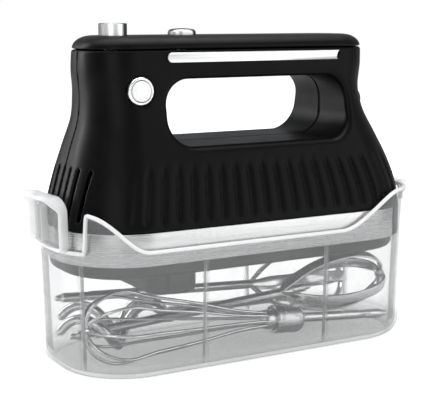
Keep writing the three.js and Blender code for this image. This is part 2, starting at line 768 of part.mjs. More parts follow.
function ejector() {
  const bridge = roundedRect(ejectX - 5, spindleX + 4, -spindleY - 3.5, spindleY + 3.5, 3);
  const pin = (y) => disc(2, spindleTopZ - 3, bridgeZ + 1, 'z', [spindleX, y, 0], 14);
  return joined(
    prismZ(bridge, bridgeZ, bridgeZ + 3, 4),
    disc(stemRadius, bridgeZ + 1, ejectRodTop, 'z', [ejectX, 0, 0], 16),
    pin(-spindleY),
    pin(spindleY),
  );
}

add('ejector', ejector(), naturalNylon);
add('ejector_guide', ring(stemRadius + gap, 10, guideZ, guideZ + 3, 'z', [ejectX, 0, 0], 20), naturalNylon);

class Coil extends THREE.Curve {
  constructor(radius, turns, from, to) {
    super();
    Object.assign(this, { radius, turns, from, to });
  }

  getPoint(t, target = new THREE.Vector3()) {
    const angle = 2 * Math.PI * this.turns * t;
    const along = this.from + (this.to - this.from) * t;
    return target.set(this.radius * Math.cos(angle), this.radius * Math.sin(angle), along);
  }
}

const springWire = 0.5;
const ejectSpring = new Coil(4.3, 6, guideZ + 3 + gap + springWire, capBottomZ - gap - springWire);
add('eject_spring', tube(ejectSpring, springWire, 54, 4), polishedSteel).position.set(ejectX, 0, 0);

// ---- speed slider ----

const switchTopZ = holeTopZ + shellWall + 7;
const sliderTopZ = crownTopZ + gap + 3;
const stem = [sliderX - 2, sliderX + 2, -slotHalfWidth + 0.5, slotHalfWidth - 0.5];
const sliderShape = roundedRect(sliderX - sliderLength / 2, sliderX + sliderLength / 2, -sliderWidth / 2, sliderWidth / 2, 3);
const stemPocket = block(stem[0] - gap, stem[1] + gap, stem[2] - gap, stem[3] + gap, crownTopZ, sliderTopZ - 1);
add('speed_slider', cut(prismZ(sliderShape, crownTopZ + gap, sliderTopZ, 4), stemPocket), polishedSteel);

const carriageZ = switchTopZ + gap;
const carriage = block(sliderX - 6, sliderX + 6, -4, 4, carriageZ, carriageZ + 3.4);
add('slider_carriage', joined(carriage, block(...stem, carriageZ + 3, sliderTopZ - 1 - gap)), naturalNylon);

const switchX0 = sliderX - sliderTravel - 7;
add('speed_switch', block(switchX0, sliderX + 8, -7, 7, switchTopZ - 6, switchTopZ), darkGrey);

// ---- boost button on the left side ----

const boostSeat = -sideAt(boostZ);
const boostAt = [boostX, 0, boostZ];
const bezel = ring(boostRadius + 0.35, bezelRadius, boostSeat - 1.4, boostSeat + 3, 'y', boostAt, 28);
add('boost_bezel', bezel, polishedSteel);
add('boost_button', disc(boostRadius, boostSeat - 2.4, boostSeat + 5.5, 'y', boostAt, 24), whitePlastic);
const boostSwitchY = boostSeat + 5.5 + boostTravel + gap;
add('boost_switch', block(boostX - 6, boostX + 6, boostSwitchY, boostSwitchY + 7, boostZ - 2.5, boostZ + 4), darkGrey);

// ---- control board and cord gland ----

const boardX = shaftEndX + 5;
const boardHalfWidth = 24;
const boardFace = boardX + 1.5;
add('control_board', joined(
  block(boardX, boardX + 1.6, -boardHalfWidth, boardHalfWidth, shaftZ - 22, shaftZ + 12),
  block(boardFace, boardX + 9, -18, -6, shaftZ - 16, shaftZ),
  block(boardFace, boardX + 7, 0, 9, shaftZ - 14, shaftZ - 5),
  disc(4, boardFace, boardX + 9, 'x', [0, 16, shaftZ + 2], 14),
), greenBoard);

const glandX = bodyPlanAt(glandZ).rear;
const glandProfile = [[glandBore, glandX - 5], [glandRadius, glandX - 5], [glandRadius, glandX + 1.5],
  [glandRadius - 1.8, glandX + 5], [glandBore, glandX + 5], [glandBore, glandX - 5]];
add('cord_gland', turned(glandProfile, 'x', [0, 0, glandZ], 20), darkGrey);

// ---- storage case ----

const caseHalfLength = bodyHalfLength + caseClearance;
const caseHalfWidth = bodyHalfWidth + caseClearance;
const endReach = caseHalfLength + 30;

// The inside face of the case wall at height z, moved outwards by offset.
function casePlan(z, offset) {
  const lean = (z - skirtBottomZ) * caseDraft + offset;
  return {
    front: caseHalfLength + lean,
    rear: caseHalfLength + lean,
    half: caseHalfWidth + lean,
    corner: caseCorner + offset,
  };
}

function caseBand(offset, z0, z1) {
  return loft([z0, z1].map((z) => planRing(casePlan(z, offset), z)));
}

function caseBlank() {
  const rings = [];
  for (let i = 0; i <= 3; i += 1) {
    const angle = (i / 3) * (Math.PI / 2);
    const inset = caseFillet * (1 - Math.sin(angle));
    const z = caseFillet * (1 - Math.cos(angle));
    rings.push(planRing(casePlan(z, caseWall - inset), z));
  }
  rings.push(planRing(casePlan(shoulderZ, caseWall), shoulderZ));
  return loft(rings);
}

// The space over the rim on both long sides: low in the middle, with a soft rise to each end.
function rimCutter() {
  const outline = new THREE.Shape();
  const steps = 6;
  const rise = (share) => scoopZ + (shoulderZ - scoopZ) * (1 - Math.cos(Math.PI * share)) * 0.5;
  const [frontLow, frontHigh] = [-(caseHalfLength - 33), -(caseHalfLength - 5)];
  const [rearLow, rearHigh] = [caseHalfLength - 58, caseHalfLength - 18];
  outline.moveTo(frontHigh, shoulderZ + 1);
  for (let i = steps; i >= 0; i -= 1) {
    outline.lineTo(frontLow + (frontHigh - frontLow) * (i / steps), rise(i / steps));
  }
  for (let i = 0; i <= steps; i += 1) {
    outline.lineTo(rearLow + (rearHigh - rearLow) * (i / steps), rise(i / steps));
  }
  outline.lineTo(rearHigh, shoulderZ + 1);
  return prismY(outline, -caseHalfWidth - 20, caseHalfWidth + 20);
}

// Ribs up the inside of the wall. The skirt of the mixer stands on their tops.
function caseRibs() {
  const lining = cut(caseBand(0.5, 1, skirtBottomZ - gap), caseBand(-ribDepth, 0, skirtBottomZ + 5));
  const reach = caseHalfWidth + 10;
  const bars = [-ribX, ribX].map((x) => block(x - ribWidth / 2, x + ribWidth / 2, -reach, reach, 0, wide));
  for (const end of [-1, 1]) {
    for (const side of [-1, 1]) {
      const bar = block(0, 60, -ribWidth / 2, ribWidth / 2, 0, wide);
      const angle = THREE.MathUtils.radToDeg(Math.atan2(side * 17, end * 32));
      bars.push(bar.rotate([0, 0, angle]).translate([end * (caseHalfLength - caseCorner), side * 6, 0]));
    }
  }
  return lining.intersect(joined(...bars)).intersect(caseBlank());
}

const tongueBand = block(-endReach, 0, -tongueHalfWidth, tongueHalfWidth, 0, wide);
const notchOuter = tongueHalfWidth + notchWidth;

function storageCase() {
  const hollow = loft([
    planRing(casePlan(caseFloor, 2 - caseFillet), caseFloor),
    planRing(casePlan(caseFillet, 0), caseFillet),
    planRing(casePlan(tongueTopZ + 1, 0), tongueTopZ + 1),
  ]);
  const notches = block(-endReach, -caseHalfLength + 15, -notchOuter, notchOuter, notchBottomZ, wide);
  const rearReach = caseWall + lipReach + (tongueTopZ - shoulderZ) * caseDraft;
  const rearLip = cut(caseBand(rearReach, shoulderZ - lipThickness, shoulderZ), caseBand(0.5, 0, wide));
  const rearRib = cut(caseBand(caseWall + 2.8, notchBottomZ, shoulderZ - 1), caseBand(0.5, 0, wide));
  const shell = cut(caseBlank(), hollow);
  return joined(
    cut(shell, rimCutter(), notches),
    rearLip.intersect(block(0, endReach, -tongueHalfWidth, tongueHalfWidth, 0, wide)),
    rearRib.intersect(block(0, endReach, -3, 3, 0, wide)),
    caseRibs(),
  );
}

add('storage_case', storageCase(), clearPlastic);

// The sprung tongue at the nose end. It bends outwards to let the mixer go.
function latchTongue() {
  const bottomZ = notchBottomZ + gap;
  const blade = cut(caseBand(caseWall, bottomZ, tongueTopZ), caseBand(0, bottomZ - 1, tongueTopZ + 1));
  const lip = cut(caseBand(caseWall + lipReach, tongueTopZ - lipThickness, tongueTopZ), caseBand(0.5, 0, wide));
  const edge = cut(caseBand(caseWall + 3, bottomZ + 1, tongueTopZ - 1), caseBand(0.5, 0, wide));
  const rib = cut(caseBand(caseWall + 3, bottomZ + 2, tongueTopZ - 4), caseBand(0.5, 0, wide));
  const edgeAt = (y0, y1) => edge.intersect(block(-endReach, 0, y0, y1, 0, wide));
  return joined(
    blade.intersect(tongueBand),
    lip.intersect(tongueBand),
    edgeAt(-tongueHalfWidth, -tongueHalfWidth + 2),
    edgeAt(tongueHalfWidth - 2, tongueHalfWidth),
    rib.intersect(block(-endReach, 0, -3, 3, 0, wide)),
  );
}

add('latch_tongue', latchTongue(), clearPlastic);

// ---- attachments: each is made along +X from its tool end, then laid in the case ----

function lay(mesh, from, to) {
  const direction = new THREE.Vector3(...to).sub(new THREE.Vector3(...from)).normalize();
  mesh.position.set(...from);
  mesh.quaternion.setFromUnitVectors(X, direction);
}

function stemFrom(x, length) {
  const lugX = length - 17;
  return joined(
    disc(stemRadius, x, length - 3, 'x', [0, 0, 0], 12),
    disc(1.6, length - 4, length, 'x', [0, 0, 0], 12),
    block(lugX, lugX + 3, -4, 4, -0.8, 0.8),
  );
}

function beater() {
  const outline = (radius, from, to) => {
    const half = [[from, 0], [from + 2, radius * 0.45], [from + 10, radius * 0.84], [from + 24, radius],
      [from + 38, radius * 0.92], [to - 8, radius * 0.5], [to, 0]];
    const mirrored = half.slice(1, -1).reverse().map(([x, y]) => [x, -y]);
    return [...half, ...mirrored].map(([x, y]) => new THREE.Vector2(x, y));
  };
  const loop = new THREE.Shape(outline(beaterRadius, 0, beaterCage + 2));
  loop.holes.push(new THREE.Path(outline(beaterRadius - 1.3, 1.3, beaterCage - 1).reverse()));
  const flat = prismZ(loop, -3, 3);
  const upright = prismY(loop, -3, 3);
  return joined(flat, upright, stemFrom(beaterCage - 4, beaterLength), disc(2.5, 0.2, 3, 'x', [0, 0, 0], 10));
}

class HookCurve extends THREE.Curve {
  getPoint(t, target = new THREE.Vector3()) {
    const x = t * (hookCoil + 8);
    const reach = hookRadius * THREE.MathUtils.smoothstep(hookCoil + 8 - x, 0, 16);
    const angle = 2 * Math.PI * 1.6 * t;
    return target.set(x, reach * Math.cos(angle), reach * Math.sin(angle));
  }
}

function doughHook() {
  return joined(tube(new HookCurve(), stemRadius, 30, 6), stemFrom(hookCoil + 6, hookLength));
}

function whiskWires() {
  const loops = 4;
  const plugX = whiskBalloon - 3;
  const profile = [[plugX, 3.4], [whiskBalloon - 22, 5.5], [0.57 * whiskBalloon, 10.5],
    [0.33 * whiskBalloon, 0.82 * whiskRadius], [0.17 * whiskBalloon, whiskRadius], [6, 13], [1.2, 5]];
  const mirrored = profile.slice().reverse();
  let cage = disc(collarRadius - 2.3, plugX - 3, plugX + 3, 'x', [0, 0, 0], 16);
  for (let i = 0; i < loops; i += 1) {
    const turn = (Math.PI * i) / loops;
    const nose = whiskWire + 0.35 * i;
    const point = (x, r) => new THREE.Vector3(x, r * Math.cos(turn), r * Math.sin(turn));
    const points = [...profile.map(([x, r]) => point(x, r)), point(nose, 0), ...mirrored.map(([x, r]) => point(x, -r))];
    cage = joined(cage, tube(new THREE.CatmullRomCurve3(points), whiskWire, 26, 5));
  }
  return cage;
}

function whiskCollar() {
  const [x0, x1] = [whiskBalloon - 1, whiskBalloon - 1 + collarLength];
  const pocket = collarRadius - 2;
  const profile = [[pocket, x0], [collarRadius, x0], [collarRadius, x1 - 1.5], [collarRadius - 1.5, x1],
    [stemRadius + gap, x1], [stemRadius + gap, x0 + 5], [pocket, x0 + 5], [pocket, x0]];
  return turned(profile, 'x', [0, 0, 0], 24);
}

// A place in the case: how far behind the nose, how far right of the middle, and the height over its floor.
const inCase = (behindNose, y, height) => [behindNose - bodyHalfLength, y, caseFloor + height];

const beaterGeometry = geometryOf(beater());
lay(add('beater_1', beaterGeometry, polishedSteel), inCase(188, 17.5, 18.5), inCase(8, 19, 28));
lay(add('beater_2', beaterGeometry, polishedSteel), inCase(188, -20.2, 29), inCase(18, 5.5, 11));

const hookGeometry = geometryOf(doughHook());
lay(add('dough_hook_1', hookGeometry, polishedSteel), inCase(15.5, 22.4, 12.9), inCase(173.5, 29.8, 7.5));
lay(add('dough_hook_2', hookGeometry, polishedSteel), inCase(8.2, 6, 9.5), inCase(160.1, 9.5, 18.3));

const whiskLine = [inCase(8.1, -18.6, 20.5), inCase(188.9, -23, 6.1)];
lay(add('whisk_wires', whiskWires(), polishedSteel), ...whiskLine);
lay(add('whisk_collar', whiskCollar(), polishedSteel), ...whiskLine);
lay(add('whisk_stem', stemFrom(whiskBalloon + 5, whiskLength), polishedSteel), ...whiskLine);

export default mixerSet;
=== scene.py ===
# Hand mixer standing in its clear storage case, with two beaters, two dough hooks and a whisk in the case.
# The frame is in metres. Shapes here are worked out in millimetres and scaled when their mesh is made.
# +X runs from the nose to the rear end, -Y is the near side, +Z is up.
import math

import bmesh
import bpy
import numpy as np
import openvdb
from mathutils import Matrix, Vector


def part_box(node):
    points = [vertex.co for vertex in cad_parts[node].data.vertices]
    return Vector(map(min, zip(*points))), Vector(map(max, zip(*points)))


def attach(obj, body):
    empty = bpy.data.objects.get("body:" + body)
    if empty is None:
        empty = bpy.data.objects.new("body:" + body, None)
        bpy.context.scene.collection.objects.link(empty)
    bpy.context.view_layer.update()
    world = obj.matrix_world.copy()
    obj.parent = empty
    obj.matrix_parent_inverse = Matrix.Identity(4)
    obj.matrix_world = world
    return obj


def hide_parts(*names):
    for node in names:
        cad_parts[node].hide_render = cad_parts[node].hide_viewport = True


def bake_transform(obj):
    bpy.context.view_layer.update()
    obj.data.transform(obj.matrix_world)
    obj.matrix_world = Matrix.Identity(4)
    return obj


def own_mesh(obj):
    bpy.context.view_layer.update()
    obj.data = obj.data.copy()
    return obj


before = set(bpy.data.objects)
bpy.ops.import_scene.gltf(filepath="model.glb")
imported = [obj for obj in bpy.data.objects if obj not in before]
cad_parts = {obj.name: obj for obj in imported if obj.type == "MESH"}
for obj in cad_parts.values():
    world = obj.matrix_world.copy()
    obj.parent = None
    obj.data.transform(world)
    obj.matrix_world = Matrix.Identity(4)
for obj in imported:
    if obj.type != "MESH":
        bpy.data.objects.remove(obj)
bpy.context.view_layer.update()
mm = 0.001


def boxMm(node):
    low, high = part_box(node)
    return low / mm, high / mm


def middle(node):
    low, high = boxMm(node)
    return (low + high) / 2


# ---- small helpers for shapes ----

def smoothStep(low, high, value):
    t = np.clip((value - low) / (high - low), 0, 1)
    return t * t * (3 - 2 * t)


def smoothCurve(places, values, at):
    # a soft curve through the values, without overshoot
    places, values, at = np.array(places, float), np.array(values, float), np.asarray(at, float)
    steps = np.diff(values) / np.diff(places)
    slopes = np.concatenate([[steps[0]], (steps[1:] + steps[:-1]) / 2, [steps[-1]]])
    for i in range(1, len(slopes) - 1):
        if steps[i - 1] * steps[i] <= 0:
            slopes[i] = 0
    k = np.clip(np.searchsorted(places, at, side="right") - 1, 0, len(steps) - 1)
    width = places[k + 1] - places[k]
    t = (at - places[k]) / width
    rise = (2 * t**3 - 3 * t**2 + 1) * values[k] + (3 * t**2 - 2 * t**3) * values[k + 1]
    return rise + (t**3 - 2 * t**2 + t) * width * slopes[k] + (t**3 - t**2) * width * slopes[k + 1]


def roundedRect(u, v, low, high, radius):
    qu = np.abs(u - (low[0] + high[0]) / 2) - (high[0] - low[0]) / 2 + radius
    qv = np.abs(v - (low[1] + high[1]) / 2) - (high[1] - low[1]) / 2 + radius
    return np.hypot(np.maximum(qu, 0), np.maximum(qv, 0)) + np.minimum(np.maximum(qu, qv), 0) - radius


def roundCommon(a, b, radius):
    # what two solids share, with the edge between them rounded
    corner = np.hypot(np.maximum(a + radius, 0), np.maximum(b + radius, 0))
    return np.minimum(np.maximum(a, b), -radius) + corner


def gridOver(low, high, step):
    axes = [np.arange(a - 3 * step, b + 3 * step, step) for a, b in zip(low, high)]
    return np.meshgrid(*axes, indexing="ij", sparse=True), [axis[0] for axis in axes]


def newMesh(name, points, faces):
    mesh = bpy.data.meshes.new(name)
    points, faces = np.asarray(points, np.float32), np.asarray(faces, np.int32)
    corners = faces.shape[1]
    mesh.vertices.add(len(points))
    mesh.vertices.foreach_set("co", (points * mm).ravel())
    mesh.loops.add(faces.size)
    mesh.loops.foreach_set("vertex_index", faces.ravel())
    mesh.polygons.add(len(faces))
    mesh.polygons.foreach_set("loop_start", np.arange(0, faces.size, corners, dtype=np.int32))
    mesh.update(calc_edges=True)
    mesh.validate()
    return mesh


def newObject(name, mesh, material):
    for polygon in mesh.polygons:
        polygon.use_smooth = True
    if not mesh.materials:
        mesh.materials.append(material)
    made = bpy.data.objects.new(name, mesh)
    bpy.context.scene.collection.objects.link(made)
    return made


def fieldObject(name, field, start, step, material):
    # a closed mesh round everything where the field is below 0
    limit = 3 * step
    grid = openvdb.FloatGrid(limit)
    grid.copyFromArray(np.ascontiguousarray(np.clip(field, -limit, limit), dtype=np.float32))
    points, quads = grid.convertToQuads()
    points = points * step + np.array(start)
    a, b, c, d = (points[quads[:, i]] for i in range(4))
    volume = np.einsum("ij,ij->i", a, np.cross(b, c)).sum() + np.einsum("ij,ij->i", a, np.cross(c, d)).sum()
    if volume < 0:
        quads = quads[:, ::-1]
    return newObject(name, newMesh(name, points, quads.astype(np.int32)), material)


def gridFaces(rows, columns, closedRows, closedColumns):
    # quads over a net of rows x columns points
    i = np.arange(rows if closedRows else rows - 1)
    j = np.arange(columns if closedColumns else columns - 1)
    i, j = np.meshgrid(i, j, indexing="ij")
    i2, j2 = (i + 1) % rows, (j + 1) % columns
    return np.stack([i * columns + j, i2 * columns + j, i2 * columns + j2, i * columns + j2], -1).reshape(-1,
        4)


def editMesh(mesh, change):
    shape = bmesh.new()
    shape.from_mesh(mesh)
    change(shape)
    shape.to_mesh(mesh)
    shape.free()


def netObject(name, net, material, closedRows=False, closedColumns=True, caps=True):
    # net is rows x columns x 3; with closed columns its two open ends get a cap
    net = np.asarray(net, float)
    rows, columns = net.shape[:2]
    mesh = newMesh(name, net.reshape(-1, 3), gridFaces(rows, columns, closedRows, closedColumns))

    def close(shape):
        if caps and not closedRows:
            shape.verts.ensure_lookup_table()
            shape.faces.new([shape.verts[i] for i in range(columns)])
            shape.faces.new([shape.verts[(rows - 1) * columns + i] for i in reversed(range(columns))])
        bmesh.ops.recalc_face_normals(shape, faces=shape.faces)

    editMesh(mesh, close)
    return newObject(name, mesh, material)


def joinObjects(name, parts):
    # one object out of several
    shape = bmesh.new()
    for part in parts:
        start = len(shape.verts)
        shape.from_mesh(part.data)
        shape.verts.ensure_lookup_table()
        for vert in shape.verts[start:]:
            vert.co = part.matrix_world @ vert.co
    mesh = bpy.data.meshes.new(name)
    shape.to_mesh(mesh)
    shape.free()
    mesh.materials.append(parts[0].data.materials[0])
    for part in parts:
        bpy.data.objects.remove(part)
    return newObject(name, mesh, mesh.materials[0])


def roundedSection(low, high, radius, steps=3):
    # a closed rounded rectangle as a list of (u, v)
    points = []
    for quarter, (su, sv) in enumerate([(1, 1), (-1, 1), (-1, -1), (1, -1)]):
        centre = ((high[0] - radius) if su > 0 else (low[0] + radius),
                  (high[1] - radius) if sv > 0 else (low[1] + radius))
        for i in range(steps + 1):
            angle = (quarter + i / steps) * math.pi / 2
            points.append((centre[0] + radius * math.cos(angle), centre[1] + radius * math.sin(angle)))
    return np.array(points)


def turnedNet(profile, origin, direction, steps):
    # (radius, height) points turned round an axis from origin along direction
    turn = np.array(Vector((0, 0, 1)).rotation_difference(Vector(direction)).to_matrix())
    profile = np.array(profile, float)
    angles = np.arange(steps) * 2 * math.pi / steps
    net = np.stack([
        profile[:, :1] * np.cos(angles), profile[:, :1] * np.sin(angles),
        np.repeat(profile[:, 1:], steps, 1),
    ], -1)
    return net @ turn.T + np.array(origin)


def lathe(name, profile, origin, direction, material, steps=64):
    # profile of (radius, height) from one end on the axis to the other
    made = netObject(name, turnedNet(profile, origin, direction, steps), material)
    editMesh(made.data, lambda shape: bmesh.ops.remove_doubles(shape, verts=shape.verts, dist=1e-6))
    return made


def turnedRing(name, profile, origin, direction, material, steps=72):
    # a closed profile whose last point repeats its first
    return netObject(name, turnedNet(profile, origin, direction, steps)[:-1], material, closedRows=True)


def softProfile(points, radius, steps=4):
    # rounds every inner corner of a (radius, height) profile
    points = [np.array(p, float) for p in points]
    result = [points[0]]
    for before, corner, after in zip(points, points[1:], points[2:]):
        toBefore, toAfter = before - corner, after - corner
        cut = min(radius, 0.45 * np.linalg.norm(toBefore), 0.45 * np.linalg.norm(toAfter))
        start = corner + toBefore / np.linalg.norm(toBefore) * cut
        end = corner + toAfter / np.linalg.norm(toAfter) * cut
        for i in range(steps + 1):
            t = i / steps
            result.append((1 - t) ** 2 * start + 2 * t * (1 - t) * corner + t * t * end)
    return result + [points[-1]]


def tube(name, points, radius, material, sides=12, closed=False, sideways=None):
    # a round bar along the points; sideways gives a fixed direction at each point, if there is one
    points = np.asarray(points, float)
    count = len(points)
    if closed:
        tangents = np.roll(points, -1, 0) - np.roll(points, 1, 0)
    else:
        tangents = np.gradient(points, axis=0)
    tangents /= np.linalg.norm(tangents, axis=1)[:, None]
    if sideways is None:
        start = np.cross(tangents[0], [0, 0, 1.0])
        if np.linalg.norm(start) < 0.1:
            start = np.cross(tangents[0], [0, 1.0, 0])
        sideways = [start / np.linalg.norm(start)]
        for i in range(1, count):
            moved = sideways[-1] - tangents[i] * (sideways[-1] @ tangents[i])
            sideways.append(moved / np.linalg.norm(moved))
    sideways = np.array(sideways)
    upward = np.cross(tangents, sideways)
    radii = np.broadcast_to(np.asarray(radius, float), (count,))[:, None, None]
    angles = np.arange(sides) * 2 * math.pi / sides
    net = points[:, None] + radii * (
        np.cos(angles)[None, :, None] * sideways[:, None] + np.sin(angles)[None, :, None] * upward[:, None])
    return netObject(name, net, material, closedRows=closed)


def place(piece, body, slotName, *nodes):
    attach(piece, body)
    if nodes:
        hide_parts(*nodes)
    return piece


# ---- camera, lights and stage ----

view = {
    "target": (-0.0033, 0.0, 0.0767),
    "azimuth": -30.2,
    "elevation": 9.2,
    "distance": 0.6057,
    "lens": 92.5,
}


def addCamera():
    camera = bpy.data.objects.new("productCamera", bpy.data.cameras.new("productCamera"))
    bpy.context.scene.collection.objects.link(camera)
    a, e = math.radians(view["azimuth"]), math.radians(view["elevation"])
    back = Vector((math.sin(a) * math.cos(e), -math.cos(a) * math.cos(e), math.sin(e)))
    camera.location = Vector(view["target"]) + view["distance"] * back
    camera.rotation_euler = back.to_track_quat("Z", "Y").to_euler()
    camera.data.sensor_width = 36
    camera.data.lens = view["lens"]
    camera.data.clip_start = 0.01
    bpy.context.scene.camera = camera


studio = {
    "topSize": (1.5, 1.1), "topPlace": (0.0, 0.1, 1.25), "topPower": 21.0,
    "sideSize": (0.28, 0.9), "sidePlace": (-0.75, 0.95, 0.5), "sidePower": 9.0,
    "frontSize": (0.6, 0.9), "frontPlace": (-0.85, -0.95, 0.42), "frontPower": 4.0,
    "rightSize": (0.8, 0.9), "rightPlace": (0.75, -0.95, 0.42), "rightPower": 4.0,
    "worldColor": (0.95, 0.97, 1.0), "worldStrength": 0.38,
    "floorColor": (0.93, 0.93, 0.93), "floorReach": 6.0, "floorGlow": 0.68,
}


def addLight(name, size, place, power):
    data = bpy.data.lights.new(name, "AREA")
    data.shape = "RECTANGLE"
    data.size, data.size_y = size
    data.energy = power
    light = bpy.data.objects.new(name, data)
    light.location = place
    aim = Vector((0, 0, 0.11)) - Vector(place)
    light.rotation_euler = aim.to_track_quat("-Z", "Y").to_euler()
    light.visible_camera = False
    bpy.context.scene.collection.objects.link(light)


def addStudio():
    for side in ("top", "side", "front", "right"):
        addLight(side + "Light", studio[side + "Size"], studio[side + "Place"], studio[side + "Power"])
    world = bpy.data.worlds.new("studioWorld")
    world.use_nodes = True
    # the light around is dim; the backdrop itself is seen as white
    nodes, links = world.node_tree.nodes, world.node_tree.links
    background = nodes["Background"]
    background.inputs["Color"].default_value = (*studio["worldColor"], 1)
    background.inputs["Strength"].default_value = studio["worldStrength"]
    backdrop = nodes.new("ShaderNodeBackground")
    backdrop.inputs["Color"].default_value = (1, 1, 1, 1)
    seen = nodes.new("ShaderNodeLightPath")
    mix = nodes.new("ShaderNodeMixShader")
    links.new(seen.outputs["Is Camera Ray"], mix.inputs[0])
    links.new(background.outputs[0], mix.inputs[1])
    links.new(backdrop.outputs[0], mix.inputs[2])
    links.new(mix.outputs[0], nodes["World Output"].inputs["Surface"])
    bpy.context.scene.world = world
    bpy.context.scene.view_settings.view_transform = "Standard"
    reach = studio["floorReach"] / mm
    net = np.array([[[-reach, -reach, 0], [reach, -reach, 0]], [[-reach, reach, 0], [reach, reach, 0]]])
    material = bpy.data.materials.new("paleFloor")
    material.use_nodes = True
    shader = material.node_tree.nodes["Principled BSDF"]
    shader.inputs["Base Color"].default_value = (*studio["floorColor"], 1)
    shader.inputs["Roughness"].default_value = 0.6
    shader.inputs["Specular IOR Level"].default_value = 0.2
    shader.inputs["Emission Color"].default_value = (studio["floorGlow"],) * 3 + (1,)
    seen = material.node_tree.nodes.new("ShaderNodeLightPath")
    material.node_tree.links.new(seen.outputs["Is Camera Ray"], shader.inputs["Emission Strength"])
    floor = netObject("studioFloor", net, material, closedColumns=False, caps=False)


addCamera()
addStudio()
print("camera and studio ready")


# ---- effects that several finishes share ----

def addNode(tree, kind, **settings):
    node = tree.nodes.new(kind)
    for key, value in settings.items():
        setattr(node, key, value)
    return node


def setInputs(node, **values):
    for key, value in values.items():
        node.inputs[key.replace("_", " ")].default_value = value
    return node


def newGroup(name, inputs, outputs):
    group = bpy.data.node_groups.new(name, "ShaderNodeTree")
    for socket, kind, value in inputs:
        made = group.interface.new_socket(name=socket, in_out="INPUT", socket_type="NodeSocket" + kind)
        made.default_value = value
    for socket, kind in outputs:
        group.interface.new_socket(name=socket, in_out="OUTPUT", socket_type="NodeSocket" + kind)
    return group, addNode(group, "NodeGroupInput"), addNode(group, "NodeGroupOutput")


def noise(tree, vector, scale, detail=3.0, roughness=0.5):
    node = addNode(tree, "ShaderNodeTexNoise")
    setInputs(node, Detail=detail, Roughness=roughness)
    tree.links.new(vector, node.inputs["Vector"])
    if isinstance(scale, (int, float)):
        node.inputs["Scale"].default_value = scale
    else:
        tree.links.new(scale, node.inputs["Scale"])
    return node.outputs["Fac"]


def math2(tree, operation, a, b, clamp=False):
    node = addNode(tree, "ShaderNodeMath", operation=operation, use_clamp=clamp)
    for socket, value in zip(node.inputs, (a, b)):
        if isinstance(value, (int, float)):
            socket.default_value = value
        else:
            tree.links.new(value, socket)
    return node.outputs[0]


def mixColors(tree, factor, a, b):
    node = addNode(tree, "ShaderNodeMix", data_type="RGBA")
    for socket, value in ((node.inputs[0], factor), (node.inputs[6], a), (node.inputs[7], b)):
        if isinstance(value, (int, float, tuple)):
            socket.default_value = value
        else:
            tree.links.new(value, socket)
    return node.outputs[2]


def remap(tree, value, low, high, to0=0.0, to1=1.0):
    node = addNode(tree, "ShaderNodeMapRange")
    tree.links.new(value, node.inputs["Value"])
    for socket, number in zip(("From Min", "From Max", "To Min", "To Max"), (low, high, to0, to1)):
        if isinstance(number, (int, float)):
            node.inputs[socket].default_value = number
        else:
            tree.links.new(number, node.inputs[socket])
    return node.outputs[0]


def makeGrainGroup():
    # the fine leather-like grain of moulded plastic, with slow drifts of tone
    group, given, out = newGroup(
        "mouldedGrain",
        [("Color", "Color", (0.5, 0.5, 0.5, 1)), ("Fleck", "Color", (0.6, 0.6, 0.6, 1)),
        ("Scale", "Float", 1500.0),
         ("Roughness", "Float", 0.5), ("Spread", "Float", 0.08)],
        [("Color", "Color"), ("Roughness", "Float"), ("Height", "Float")])
    place = addNode(group, "ShaderNodeTexCoord").outputs["Object"]
    fine = noise(group, place, given.outputs["Scale"], 2.0)
    slow = noise(group, place, 28.0, 3.0)
    flecks = math2(group, "MULTIPLY", remap(group, fine, 0.5, 0.72), 0.6)
    tone = math2(group, "ADD", flecks, remap(group, slow, 0.35, 0.7, 0.0, 0.4), clamp=True)
    group.links.new(mixColors(group, tone, given.outputs["Color"], given.outputs["Fleck"]),
        out.inputs["Color"])
    drift = math2(group, "MULTIPLY", math2(group, "SUBTRACT", math2(group, "ADD", fine, slow), 1.0),
                  given.outputs["Spread"])
    group.links.new(math2(group, "ADD", given.outputs["Roughness"], drift), out.inputs["Roughness"])
    group.links.new(fine, out.inputs["Height"])
    return group


def makeBrushGroup():
    # brush lines: noise that is long along the brushing and short across it
    group, given, out = newGroup(
        "brushLines",
        [("Color", "Color", (0.8, 0.8, 0.8, 1)), ("Dark", "Color", (0.6, 0.6, 0.6, 1)),
         ("Across", "Vector", (60.0, 60.0, 5000.0)), ("Roughness", "Float", 0.3), ("Spread", "Float", 0.15)],
        [("Color", "Color"), ("Roughness", "Float"), ("Height", "Float")])
    place = addNode(group, "ShaderNodeTexCoord").outputs["Object"]
    stretch = addNode(group, "ShaderNodeVectorMath", operation="MULTIPLY")
    group.links.new(place, stretch.inputs[0])
    group.links.new(given.outputs["Across"], stretch.inputs[1])
    lines = noise(group, stretch.outputs[0], 1.0, 4.0, 0.65)
    tone = remap(group, lines, 0.3, 0.7)
    group.links.new(mixColors(group, tone, given.outputs["Dark"], given.outputs["Color"]),
        out.inputs["Color"])
    drift = math2(group, "MULTIPLY", math2(group, "SUBTRACT", tone, 0.5), given.outputs["Spread"])
    group.links.new(math2(group, "ADD", given.outputs["Roughness"], drift), out.inputs["Roughness"])
    group.links.new(lines, out.inputs["Height"])
    return group


def makeHandlingGroup():
    # faint cloudy marks where hands have been; they only change the gloss
    group, given, out = newGroup(
        "handlingMarks",
        [("Roughness", "Float", 0.3), ("Scale", "Float", 90.0), ("Amount", "Float", 0.1)],
        [("Roughness", "Float"), ("Mask", "Float")])
    place = addNode(group, "ShaderNodeTexCoord").outputs["Object"]
    broad = noise(group, place, given.outputs["Scale"], 5.0, 0.6)
    mask = remap(group, broad, 0.48, 0.68)
    group.links.new(mask, out.inputs["Mask"])
    extra = math2(group, "MULTIPLY", mask, given.outputs["Amount"])
    group.links.new(math2(group, "ADD", given.outputs["Roughness"], extra), out.inputs["Roughness"])
    return group


